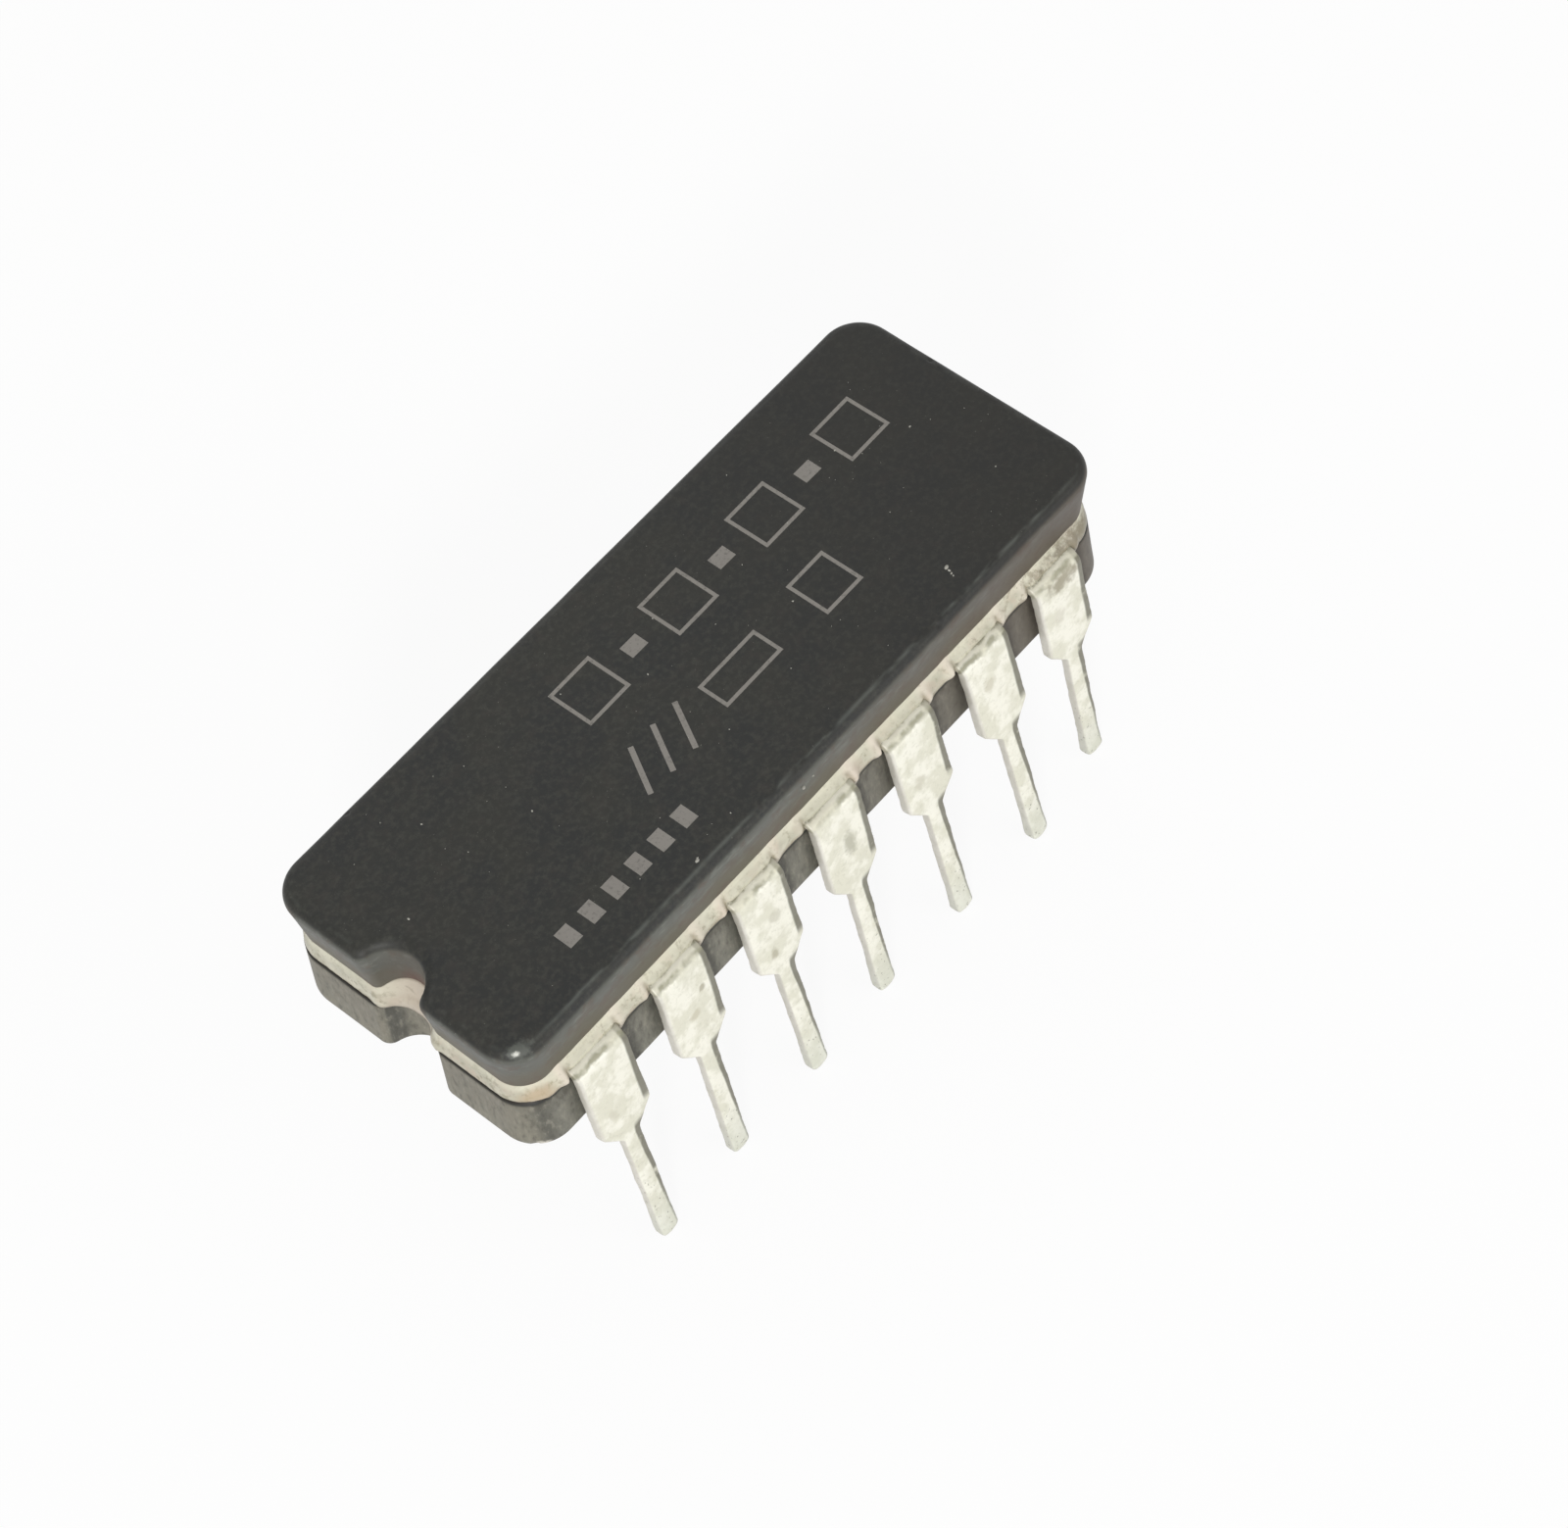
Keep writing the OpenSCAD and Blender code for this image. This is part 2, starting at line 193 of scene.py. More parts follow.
def parts_of(tree, vector):
    """The x, y and z of a vector, as terms."""
    split = node_of(tree, "ShaderNodeSeparateXYZ", Vector=vector)
    return [Term(tree, part) for part in split.outputs]


def noise_at(tree, place, scale, detail, roughness):
    """Noise at a place, from 0 to 1, with a scale in lumps to a unit."""
    node = node_of(
        tree, "ShaderNodeTexNoise", Vector=place, Scale=scale, Detail=detail, Roughness=roughness
    )
    return Term(tree, node.outputs[0])


# Geometry trees

INPUT_KINDS = {int: "Int", float: "Float", type(None): "Geometry"}


def new_tree(name, inputs):
    """An empty geometry tree and its inputs by name: sizes in millimetres, angles in radians.

    An input without a value is for the mesh that the tree starts from.
    """
    tree = bpy.data.node_groups.new(name, "GeometryNodeTree")
    tree.interface.new_socket("Geometry", in_out="OUTPUT", socket_type="NodeSocketGeometry")
    for label, value in inputs.items():
        kind = "NodeSocket" + INPUT_KINDS[type(value)]
        slot = tree.interface.new_socket(label, in_out="INPUT", socket_type=kind)
        if value is not None:
            slot.default_value = value
    source = tree.nodes.new("NodeGroupInput")
    return tree, {label: Term(tree, source.outputs[label]) for label in inputs}


def finish_tree(tree, geometry, material):
    """Ends a tree in Realize Instances, smooth shading and Set Material."""
    real = node_of(tree, "GeometryNodeRealizeInstances", Geometry=geometry)
    shaded = node_of(tree, "GeometryNodeSetShadeSmooth", Geometry=real)
    final = node_of(tree, "GeometryNodeSetMaterial", Geometry=shaded, Material=material)
    node_of(tree, "NodeGroupOutput", Geometry=final)


def random_number(tree, low, high, seed):
    """A random number for each point."""
    node = node_of(tree, "FunctionNodeRandomValue", {"data_type": "FLOAT"}, Seed=seed)
    node.inputs[2].default_value = low
    node.inputs[3].default_value = high
    return Term(tree, node.outputs[1])


def marked(tree, geometry, name, value):
    """The geometry with a number kept at each point under a name."""
    settings = {"data_type": "FLOAT", "domain": "POINT"}
    store = node_of(tree, "GeometryNodeStoreNamedAttribute", settings, Geometry=geometry, Name=name)
    feed(tree, store.inputs["Value"], value)
    return store


# Objects and meshes


def placed(name, data):
    """A new object in the scene, with a mesh, camera or lamp."""
    thing = bpy.data.objects.new(name, data)
    bpy.context.scene.collection.objects.link(thing)
    return thing


def paint(piece, material):
    """Gives every face of a piece one material."""
    piece.data.materials.clear()
    piece.data.materials.append(material)
    piece.data.polygons.foreach_set("material_index", [0] * len(piece.data.polygons))


def shade(mesh, smooth):
    """Shades all of a mesh smooth or flat."""
    mesh.polygons.foreach_set("use_smooth", [smooth] * len(mesh.polygons))


def fill(piece, meshes, material):
    """Fills a piece with meshes, turns their faces outwards and gives them one material."""
    whole = bmesh.new()
    for mesh in meshes:
        whole.from_mesh(mesh)
    bmesh.ops.recalc_face_normals(whole, faces=whole.faces)
    whole.to_mesh(piece.data)
    whole.free()
    paint(piece, material)


def mesh_object(name, points, faces, marks=None):
    """A mesh piece from points in millimetres. marks holds a number for each point under a name."""
    mesh = bpy.data.meshes.new(name)
    mesh.from_pydata((np.asarray(points) * MM).tolist(), [], faces)
    for mark, values in (marks or {}).items():
        attribute = mesh.attributes.new(mark, "FLOAT", "POINT")
        attribute.data.foreach_set("value", np.asarray(values, np.float32))
    shade(mesh, True)
    mesh.validate()
    return placed(name, mesh)


def ring_faces(rings, count, closed):
    """Quads between rings of points, each ring with the same count of points."""
    faces = []
    for ring in range(rings if closed else rings - 1):
        low = ring * count
        high = (ring + 1) % rings * count
        for i in range(count):
            j = (i + 1) % count
            faces.append((low + i, low + j, high + j, high + i))
    return faces


def arc(centre, radius, start, end, count):
    """Points along an arc, without its last one. Angles are in radians."""
    turn = np.linspace(start, end, count, endpoint=False)
    return np.stack([centre[0] + radius * np.cos(turn), centre[1] + radius * np.sin(turn)], 1)


def line(start, end, count):
    """Points along a line, without its last one."""
    step = np.linspace(0, 1, count, endpoint=False)[:, None]
    return np.asarray(start) + (np.asarray(end) - np.asarray(start)) * step


NOTCH_STEPS = 26
LIP_STEPS = 12
END_STEPS = 44
CORNER_STEPS = 28
SIDE_STEPS = 520
FAR_END_STEPS = 104
HALVINGS = 40


def body_outline(inset, notch_inset=0.0):
    """Plan of the body at an inset, anticlockwise from the notch's bottom, through both lips."""
    half_l = BODY_LENGTH / 2
    half_w = BODY_WIDTH / 2
    corner_r = CORNER_R - inset
    corner_x = half_l - CORNER_R
    corner_y = half_w - CORNER_R
    notch_r = NOTCH_R + notch_inset
    lip_x = inset + NOTCH_LIP_R
    lip_y = math.sqrt((notch_r + NOTCH_LIP_R) ** 2 - lip_x**2)
    mouth = math.atan2(lip_y, lip_x)
    lip = (lip_x - half_l, lip_y)
    low_lip = (lip_x - half_l, -lip_y)
    end_x = inset - half_l
    side_y = half_w - inset
    quarter = math.pi / 2
    return np.vstack(
        [
            arc((-half_l, 0), notch_r, 0, -mouth, NOTCH_STEPS),
            arc(low_lip, NOTCH_LIP_R, math.pi - mouth, math.pi, LIP_STEPS),
            line((end_x, -lip_y), (end_x, -corner_y), END_STEPS),
            arc((-corner_x, -corner_y), corner_r, math.pi, 3 * quarter, CORNER_STEPS),
            line((-corner_x, -side_y), (corner_x, -side_y), SIDE_STEPS),
            arc((corner_x, -corner_y), corner_r, -quarter, 0, CORNER_STEPS),
            line((-end_x, -corner_y), (-end_x, corner_y), FAR_END_STEPS),
            arc((corner_x, corner_y), corner_r, 0, quarter, CORNER_STEPS),
            line((corner_x, side_y), (-corner_x, side_y), SIDE_STEPS),
            arc((-corner_x, corner_y), corner_r, quarter, math.pi, CORNER_STEPS),
            line((end_x, corner_y), (end_x, lip_y), END_STEPS),
            arc(lip, NOTCH_LIP_R, math.pi, math.pi + mouth, LIP_STEPS),
            arc((-half_l, 0), notch_r, mouth, 0, NOTCH_STEPS),
        ]
    )


def outward(outline):
    """Unit normals of a closed anticlockwise outline, at its points."""
    along = np.roll(outline, -1, 0) - np.roll(outline, 1, 0)
    across = np.stack([along[:, 1], -along[:, 0]], 1)
    return across / np.linalg.norm(across, axis=1)[:, None]


def inner_ring(outline, length, width, corner_r):
    """The round rectangle inside an outline, with a point on each ray from the body's middle."""
    ray = outline / [BODY_LENGTH / length, BODY_WIDTH / width]
    corner = np.array([length / 2 - corner_r, width / 2 - corner_r])
    # Halving finds where each ray crosses the rectangle
    low = np.zeros(len(ray))
    high = np.full(len(ray), 2.0)
    for _ in range(HALVINGS):
        middle = (low + high) / 2
        reach = np.abs(ray * middle[:, None]) - corner
        depth = np.linalg.norm(np.maximum(reach, 0), axis=1) + np.minimum(reach.max(1), 0)
        low = np.where(depth < corner_r, middle, low)
        high = np.where(depth < corner_r, high, middle)
    return ray * low[:, None]


def at_height(outline, z):
    """Points of a plan at a height, which may differ from point to point."""
    return np.column_stack([outline, np.broadcast_to(z, len(outline))])


def smooth(value, start, end):
    """0 before start, 1 after end, and smooth between them, for arrays."""
    step = np.clip((value - start) / (end - start), 0, 1)
    return step * step * (3 - 2 * step)


def grain(points, size, seed):
    """Smooth noise between about -1 and 1 at each point, with lumps of a size in millimetres."""
    shift = Vector((seed * 7.3, seed * 3.1, seed * 5.7))
    return np.array([noise.noise(Vector(p) / size + shift) for p in points])


# Ceramic

EDGE_STEPS = 16
WALL_STEPS = 8

# Waves of the pressed powder, and of the rubbed edges
PRESSED_WAVE = 0.007
PRESSED_LUMP = 1.1
RUBBED_WAVE = 0.004
RUBBED_LUMP = 0.22

# Turn of the rounded edge that handling rubs most and that carries the painted highlight line, and
# how far both spread, in radians
RUB_AND_SHEEN_TURN = 1.25
RUB_AND_SHEEN_SPREAD = 0.16

# Middles of the small chips along the edges
CHIP_SIZE = 0.12
CHIP_DEPTH = 0.042
CAP_CHIPS = ((-9.35, -3.35, 8.75), (4.1, -3.55, 8.74), (-7.2, 3.5, 8.74), (9.5, 1.2, 8.76))
BASE_CHIPS = ((-9.45, -3.3, 4.95), (-9.6, 1.6, 4.9), (6.3, 3.6, 4.9))
CAP_SEED = 3
BASE_SEED = 11


def ceramic_half(name, rings, wear_and_painted_light, seed, chips):
    """A ceramic half from its rings, with the soft unevenness of pressed powder and small chips.

    wear_and_painted_light holds a number for each ring: how much the edge is rubbed and how strong
    the painted highlight line on it is, from 0 to 1 on the outside, and -1 on the rings inside.
    """
    count = len(rings[0])
    points = np.vstack(rings)
    normals = np.vstack([at_height(outward(ring[:, :2]), 0) for ring in rings])
    edge = np.repeat(wear_and_painted_light, count)
    wave = PRESSED_WAVE * grain(points, PRESSED_LUMP, seed)
    wave += RUBBED_WAVE * edge * grain(points, RUBBED_LUMP, seed + 1)
    outside = np.repeat([w >= 0 for w in wear_and_painted_light], count)
    points = points + normals * (wave * outside)[:, None]
    # A chip pushes the points near it in, mostly across the body and only a little along it
    for place in chips:
        gap = np.linalg.norm(points - place, axis=1)
        towards = np.array([0, 0, (CAP_LOW.z + BASE_HIGH.z) / 2]) - points
        towards[:, 0] *= 0.2
        towards /= np.linalg.norm(towards, axis=1)[:, None]
        points = points + towards * (CHIP_DEPTH * smooth(-gap, -CHIP_SIZE, 0))[:, None]
    faces = ring_faces(len(rings), count, False)
    faces.append(tuple(range(count - 1, -1, -1)))
    faces.append(tuple(range(len(points) - count, len(points))))
    return mesh_object(name, points, faces, {"edge": np.maximum(edge, 0)})


def half_rings(seam_z, flat_z, edge_r, inset, hole):
    """Rings in a half's hole, along its wall and over its rounded edge, and for each how much it is
    rubbed and how strong the painted highlight line on it is.
    """
    away = math.copysign(1, flat_z - seam_z)
    wall_z = flat_z - away * edge_r
    inside = inner_ring(body_outline(inset), *hole)
    rings = [(at_height(inside, seam_z + away * WELL_DEPTH), -1), (at_height(inside, seam_z), -1)]
    for share in np.linspace(0, 1, WALL_STEPS):
        outline = body_outline(inset - inset * share)
        rings.append((at_height(outline, seam_z + (wall_z - seam_z) * share), 0.0))
    for turn in np.linspace(0, math.pi / 2, EDGE_STEPS)[1:]:
        over = edge_r * (1 - math.cos(turn))
        height = wall_z + away * edge_r * math.sin(turn)
        rubbed_and_sheen = math.exp(-(((turn - RUB_AND_SHEEN_TURN) / RUB_AND_SHEEN_SPREAD) ** 2))
        rings.append((at_height(body_outline(over, over), height), rubbed_and_sheen))
    rings.append((at_height(body_outline(over + 0.05, over + 0.05), height), 0.0))
    return zip(*rings)


def make_ceramic_cap():
    """The upper half, over a shallow hollow as wide as the glass's window."""
    rings, wear_and_painted_light = half_rings(CAP_LOW.z, CAP_HIGH.z, CAP_EDGE_R, CAP_INSET, WINDOW)
    return ceramic_half("ceramic_cap_body", rings, wear_and_painted_light, CAP_SEED, CAP_CHIPS)


def make_ceramic_base():
    """The lower half, with the well that holds the silicon chip."""
    rings, wear_and_painted_light = half_rings(BASE_HIGH.z, BASE_LOW.z, BASE_EDGE_R, BASE_INSET, WELL)
    piece = ceramic_half("ceramic_base_body", rings, wear_and_painted_light, BASE_SEED, BASE_CHIPS)
    piece.data.flip_normals()
    return piece


# Glass

# The bead stands just beyond a lead's side edge, and is wider on the lead's +X side
BEAD_GAP = 0.12
BEAD_WIDTH = 0.12
BEAD_WIDER = 0.05
CREASE_WIDTH = 0.06

# The one large drop beside lead 1
DROP_PLACE = (-8.5, -3.6)
DROP_REACH = 0.5

NOTCH_SHELF = 0.28
GLASS_REACH_IN = 0.3
SLOPE_STEP = 0.5
FAR_FROM_LEADS = 9.0


def lead_distance(x, y):
    """Distance along the row from each point to the nearest lead's side edge, below 0 on the lead.

    The second number is 1 on the lead's +X side and 0 on the other.
    """
    middles = np.array([lead_x(place) for place in range(LEADS_PER_ROW)])
    along = x[:, None] - middles[None, :]
    nearest = np.abs(along).argmin(1)
    along = along[np.arange(len(x)), nearest]
    on_side = np.abs(y) > BODY_WIDTH / 2 - 0.3
    gap = np.where(on_side, np.abs(along) - SHOULDER_WIDTH / 2, FAR_FROM_LEADS)
    return gap, (along > 0) * 1.0


def make_glass_seal():
    """The glass between the halves, with its collars, its beads and its slope in the notch."""
    low = BASE_HIGH.z
    top = CAP_LOW.z
    outline = body_outline(BASE_INSET)
    normal = outward(outline)
    cap_low = body_outline(CAP_INSET)
    cap_rise = (body_outline(CAP_INSET - SLOPE_STEP * math.tan(CAP_DRAFT)) - cap_low) / SLOPE_STEP
    count = len(outline)
    x, y = outline.T
    flat = np.zeros(count)

    # What each point of the outline is next to, from 0 to 1: a lead, the bead and the crease at its
    # side edge, the bottom of the notch, and the body's ends. Each bead has a size of its own.
    gap, beyond = lead_distance(x, y)
    on_lead = 1 - smooth(gap, -0.2, 0.06)
    bead_size = 0.75 + 0.5 * grain(at_height(np.round(outline / (PITCH / 2)), 0), 0.37, 12)
    bead_size += 0.5 * (np.hypot(x - DROP_PLACE[0], y - DROP_PLACE[1]) < DROP_REACH)
    bead = np.exp(-(((gap - BEAD_GAP) / (BEAD_WIDTH + BEAD_WIDER * beyond)) ** 2)) * bead_size
    crease_and_shade = np.exp(-((gap / CREASE_WIDTH) ** 2))
    notch_gap = np.hypot(x + BODY_LENGTH / 2, y)
    in_notch = 1 - smooth(notch_gap, NOTCH_R + 0.02, NOTCH_R + 0.3)
    deep = in_notch * np.clip(x + BODY_LENGTH / 2, 0, NOTCH_R) / NOTCH_R
    at_end = smooth(np.abs(x), BODY_LENGTH / 2 - 0.8, BODY_LENGTH / 2 - 0.25) * (1 - in_notch)

    # Unevenness in lumps of three sizes
    seam = at_height(outline, low)
    broad = grain(seam, 1.6, 5)
    quick = grain(seam, 0.35, 6)
    fine = grain(seam, 0.12, 7)
    ripple = 0.55 * broad + 0.3 * quick + 0.15 * fine

    # How far the glass climbs the cap, bulges, drips and sags over the base, in millimetres
    creep = np.clip(0.16 + 0.05 * ripple + 0.04 * bead, 0.08, 0.3) * (1 - deep) + 0.5 * deep
    bulge = 0.03 + 0.02 * ripple - 0.05 * at_end
    drip = (0.02 + 0.07 * np.maximum(ripple, 0)) * (1 - at_end) * (1 - on_lead)
    hang = bead * (0.06 + 0.16 * beyond)
    sag = (0.02 + drip + hang) * (1 - at_end)
    collar = (0.08 + 0.03 * quick) * on_lead
    collar_top = (0.02 + 0.03 * broad) * on_lead
    shelf = NOTCH_SHELF * deep

    def level(z, share, out):
        """A ring at a height, a share of the way from base wall to cap wall, then outwards."""
        z = z + flat
        wall = outline + (cap_low + cap_rise * (z - top)[:, None] - outline) * share
        return at_height(wall + normal * (out + flat)[:, None], z)

    flank = bulge + 0.15 * bead - 0.02 * on_lead - 0.025 * crease_and_shade
    belly = bulge * 0.8 + 0.14 * bead + 0.10 * on_lead - 0.02 * crease_and_shade
    rings = [
        level(low, 0, -GLASS_REACH_IN),
        level(low, 0, -0.06 - 0.08 * at_end),
        level(low + 0.03 * at_end - sag, 0, 0.003 + 0.05 * sag - 0.07 * at_end + shelf),
        level(low + 0.06 - sag * 0.6, 0, bulge * 0.6 + 0.07 * bead + 0.006 * fine + shelf),
        level(low + 0.14 - hang * 0.2, 0, bulge + 0.13 * bead - 0.03 * crease_and_shade + shelf),
        level(low + 0.23, 0.1, flank + shelf * 0.92),
        level(low + 0.31, 0.25, belly + shelf * 0.78),
        level(low + 0.36 + 0.02 * on_lead, 0.45, 0.02 + 0.11 * bead + collar + shelf * 0.64),
        level(low + 0.42 + 0.02 * bead, 0.7, 0.02 + 0.06 * bead + collar_top + shelf * 0.5),
        level(top + creep * 0.45, 0.92, 0.012 + 0.01 * bead + shelf * 0.3),
        level(top + creep * 0.85, 1, 0.01 + shelf * 0.1),
        level(top + creep, 1, -0.012),
        level(top + 0.02, 1, -0.05),
    ]
    # Inside the body: under the cap's rim, and round the window and the well
    window = inner_ring(outline, *WINDOW)
    well = inner_ring(outline, *WELL)
    rings += [
        at_height(cap_low - normal * GLASS_REACH_IN, top),
        at_height(window, top),
        at_height(window, LEAD_TOP),
        at_height(well, LEAD_TOP),
        at_height(well, low),
    ]
    faces = ring_faces(len(rings), count, True)
    marks = {"lead_root": on_lead, "bead": bead, "crease_and_shade": crease_and_shade, "notch": deep}
    marks = {name: np.tile(values, len(rings)) for name, values in marks.items()}
    return mesh_object("glass_seal_body", np.vstack(rings), faces, marks)


# Leads

ALONG_STEPS = 190
ROUND_STEPS = 44
ROOT_Y = 3.25
ROOT_ROUND = 0.06
FINGER_OVERLAP = 0.04
EDGE_R = 0.085
SHOULDER_SOFT = 0.07
TIP_ROUND = 0.45
WELD_GAP = 0.0012

# Solder: the share of the bend where it starts, its thickness, and how it gathers and lumps
COAT_START = 0.62
COAT_RAMP = 0.07
SOLDER = 0.018
SOLDER_POOL = 0.014
SOLDER_BULB = 0.02
SOLDER_LUMP = 0.062
SOLDER_RIPPLE = 0.016
POOL_ABOVE = 0.9
POOL_BELOW = 0.3
BULB_START = 0.9
BULB_FULL = 0.25

# Lumps to a millimetre, and how much the lumps thicken and widen the section
LUMP_SCALE = 1.3
RIPPLE_SCALE = 6.0
LUMP_THICKEN = 7
LUMP_WIDEN = 0.8

# How soon the section turns from its flat faces, and from its flat sides, into the round edges
FACE_TURN = 1.5
SIDE_TURN = 3.0

# Numbers kept at each point of a lead, for its finish
LEAD_MARKS = ("across", "down", "past_coat")


def lead_tree(material):
    """Sweeps a dipped lead: out of the glass, round the bend, down shoulder, taper and pin."""
    inputs = {
        "Spread": 0.1, "Lean": 0.0, "Leg": 6.6, "Shoulder end": 2.1, "Taper end": 2.7,
        "Shoulder width": SHOULDER_WIDTH, "Pin width": PIN_WIDTH, "Metal": METAL, "Seed": 1,
    }
    tree, size = new_tree("solder-dipped lead", inputs)
    grid = node_of(
        tree, "GeometryNodeMeshGrid",
        Size_X=1.0, Size_Y=1.0, Vertices_X=ALONG_STEPS, Vertices_Y=ROUND_STEPS + 1,
    )
    step, turn, _ = parts_of(tree, node_of(tree, "GeometryNodeInputPosition"))
    step = step + 0.5
    turn = turn * (2 * math.pi)

    # Distance along the middle of the metal, and the turn of the bend
    run_in = BEND_Y - ROOT_Y
    full_turn = math.pi / 2 - size["Spread"]
    bend_length = full_turn * BEND_MID_R
    total = bend_length + size["Leg"] + run_in
    # Steps crowd together towards both ends, where the section closes
    even = step - (step * (2 * math.pi)).math("SINE") * (0.5 / (2 * math.pi))
    along = even * total
    bent = ((along - run_in) / BEND_MID_R).clip(0, full_turn)
    down = (along - run_in - bend_length).math("MAXIMUM", 0.0)
    flat = along.math("MINIMUM", run_in)
    sine = bent.math("SINE")
    cosine = bent.math("COSINE")
    path_y = flat + sine * BEND_MID_R + down * cosine + ROOT_Y
    path_z = LEAD_MID - (1 - cosine) * BEND_MID_R - down * sine

    # Half width: shoulder, straight taper with soft corners, pin, round tip
    wide = size["Shoulder width"] / 2
    narrow = size["Pin width"] / 2
    slope = (down - size["Shoulder end"]) / (size["Taper end"] - size["Shoulder end"])
    taper = wide - (wide - narrow) * slope
    half = taper.math("SMOOTH_MIN", wide, SHOULDER_SOFT).math("SMOOTH_MAX", narrow, SHOULDER_SOFT)
    to_tip = (size["Leg"] - down) / (size["Pin width"] * TIP_ROUND)
    tip = (1 - (1 - to_tip.clip(0, 1)).math("POWER", 2.0)).math("MAXIMUM", 0.0).math("SQRT")
    root = (along / ROOT_ROUND).clip(0, 1).math("SQRT")
    half = half * tip * root

    # Half thickness: metal, and solder from past the bend on, gathered at the taper and the tip
    past_coat = along - run_in - bend_length * COAT_START
    coat = past_coat.soft_step(0.0, COAT_RAMP)
    pool = down.soft_step(size["Shoulder end"] - POOL_ABOVE, size["Shoulder end"])
    pool = pool * (1 - down.soft_step(size["Shoulder end"], size["Taper end"] + POOL_BELOW))
    bulb = down.soft_step(size["Leg"] - BULB_START, size["Leg"] - BULB_FULL)
    thick = size["Metal"] / 2 + coat * SOLDER + pool * SOLDER_POOL + bulb * SOLDER_BULB
    thick = thick * tip.math("POWER", 0.6) * root

    # Rounded section: straight faces that crown a little, with round edges
    turn_cos = turn.math("COSINE")
    turn_sin = turn.math("SINE")
    edge = half.math("MINIMUM", thick).math("MINIMUM", EDGE_R)
    across = (turn_cos * FACE_TURN).clip(-1, 1) * (half - edge) + turn_cos * edge
    share = across / half.math("MAXIMUM", 0.05)
    through = (turn_sin * SIDE_TURN).clip(-1, 1) * (thick - edge) + turn_sin * edge

    # Lumps in the solder
    seed_shift = size["Seed"] * 3.7
    lump_place = vector_of(tree, across + seed_shift, down, through)
    lumps = (noise_at(tree, lump_place, LUMP_SCALE, 2.0, 0.55) - 0.5) * SOLDER_LUMP
    ripples = (noise_at(tree, lump_place, RIPPLE_SCALE, 1.0, 0.5) - 0.5) * SOLDER_RIPPLE
    uneven = (lumps + ripples) * coat * tip
    through = through * (1 + uneven * LUMP_THICKEN)
    across = across + turn_cos * uneven * LUMP_WIDEN

    lean = down * size["Lean"].math("TANGENT")
    y = (path_y + through * sine) * -1
    z = path_z + through * cosine
    where = vector_of(tree, (across + lean) * MM, y * MM, z * MM)

    # The marks are kept while the grid is still flat, because they come from its own positions
    kept = grid
    for name, value in zip(LEAD_MARKS, (share, down, past_coat)):
        kept = marked(tree, kept, name, value)
    shaped = node_of(tree, "GeometryNodeSetPosition", Geometry=kept, Position=where)
    closed = node_of(tree, "GeometryNodeMergeByDistance", Geometry=shaped, Distance=WELD_GAP * MM)
    finish_tree(tree, closed, material)
    return tree


def grown(name, tree, settings, holder=None):
    """Runs a geometry tree with its inputs set and returns the plain mesh that it makes."""
    holder = holder or placed(name, bpy.data.meshes.new(name))
    modifier = holder.modifiers.new(name, "NODES")
    modifier.node_group = tree
    for item in tree.interface.items_tree:
        if item.item_type == "SOCKET" and item.in_out == "INPUT" and item.name in settings:
            modifier[item.identifier] = settings[item.name]
    ready = holder.evaluated_get(bpy.context.evaluated_depsgraph_get())
    mesh = bpy.data.meshes.new_from_object(ready)
    holder.modifiers.clear()
    old = holder.data
    holder.data = mesh
    bpy.data.meshes.remove(old)
    return holder


def add_finger(lead, node, side, material):
    """Adds the inner part of a lead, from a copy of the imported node, cut off inside the glass."""
    part = bmesh.new()
    part.from_mesh(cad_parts[node].data)
    bmesh.ops.remove_doubles(part, verts=part.verts, dist=0.0005 * MM)
    cut = bmesh.ops.bisect_plane(
        part,
        geom=part.verts[:] + part.edges[:] + part.faces[:],
        plane_co=(0, side * (ROOT_Y + FINGER_OVERLAP) * MM, 0),
        plane_no=(0, side, 0),
        clear_outer=True,
    )
    rim = [edge for edge in cut["geom_cut"] if isinstance(edge, bmesh.types.BMEdge)]
    bmesh.ops.holes_fill(part, edges=rim)
    finger = bpy.data.meshes.new(node + "_finger")
    part.to_mesh(finger)
    part.free()
    bare = [-1.0] * len(finger.vertices)
    for mark in LEAD_MARKS:
        finger.attributes.new(mark, "FLOAT", "POINT").data.foreach_set("value", bare)
    fill(lead, [lead.data, finger], material)
    bpy.data.meshes.remove(finger)


def make_leads(material):
    """All leads with their nodes' names. The back row is made in front, then turned round."""
    tree = lead_tree(material)
    leads = []
    for number in range(1, 2 * LEADS_PER_ROW + 1):
        front = number <= LEADS_PER_ROW
        place = (number - 1) % LEADS_PER_ROW
        spread = math.radians(SPREAD[place] if front else BACK_SPREAD)
        lean = math.radians(LEAN[place] if front else 0.0)
        start_z = LEAD_MID - BEND_MID_R * (1 - math.sin(spread))
        settings = {
            "Spread": spread,
            "Lean": lean,
            "Leg": (start_z - METAL / 2 * math.sin(spread)) / math.cos(spread),
            "Shoulder end": (start_z - SHOULDER_HEIGHT) / math.cos(spread),
            "Taper end": (start_z - TAPER_HEIGHT) / math.cos(spread),
            "Seed": number,
        }
        lead = grown(f"lead_{number}_dipped", tree, settings)
        lead.data.transform(Matrix.Translation((lead_x(place) * MM, 0, 0)))
        if not front:
            lead.data.transform(Matrix.Rotation(math.pi, 4, "Z"))
        add_finger(lead, f"lead_{number}", -1 if front else 1, material)
        leads.append((lead, f"lead_{number}"))
    return leads


# Print and dust

INK_RISE = 0.004
INK_STROKE = 0.13
INK_SWING = 0.012

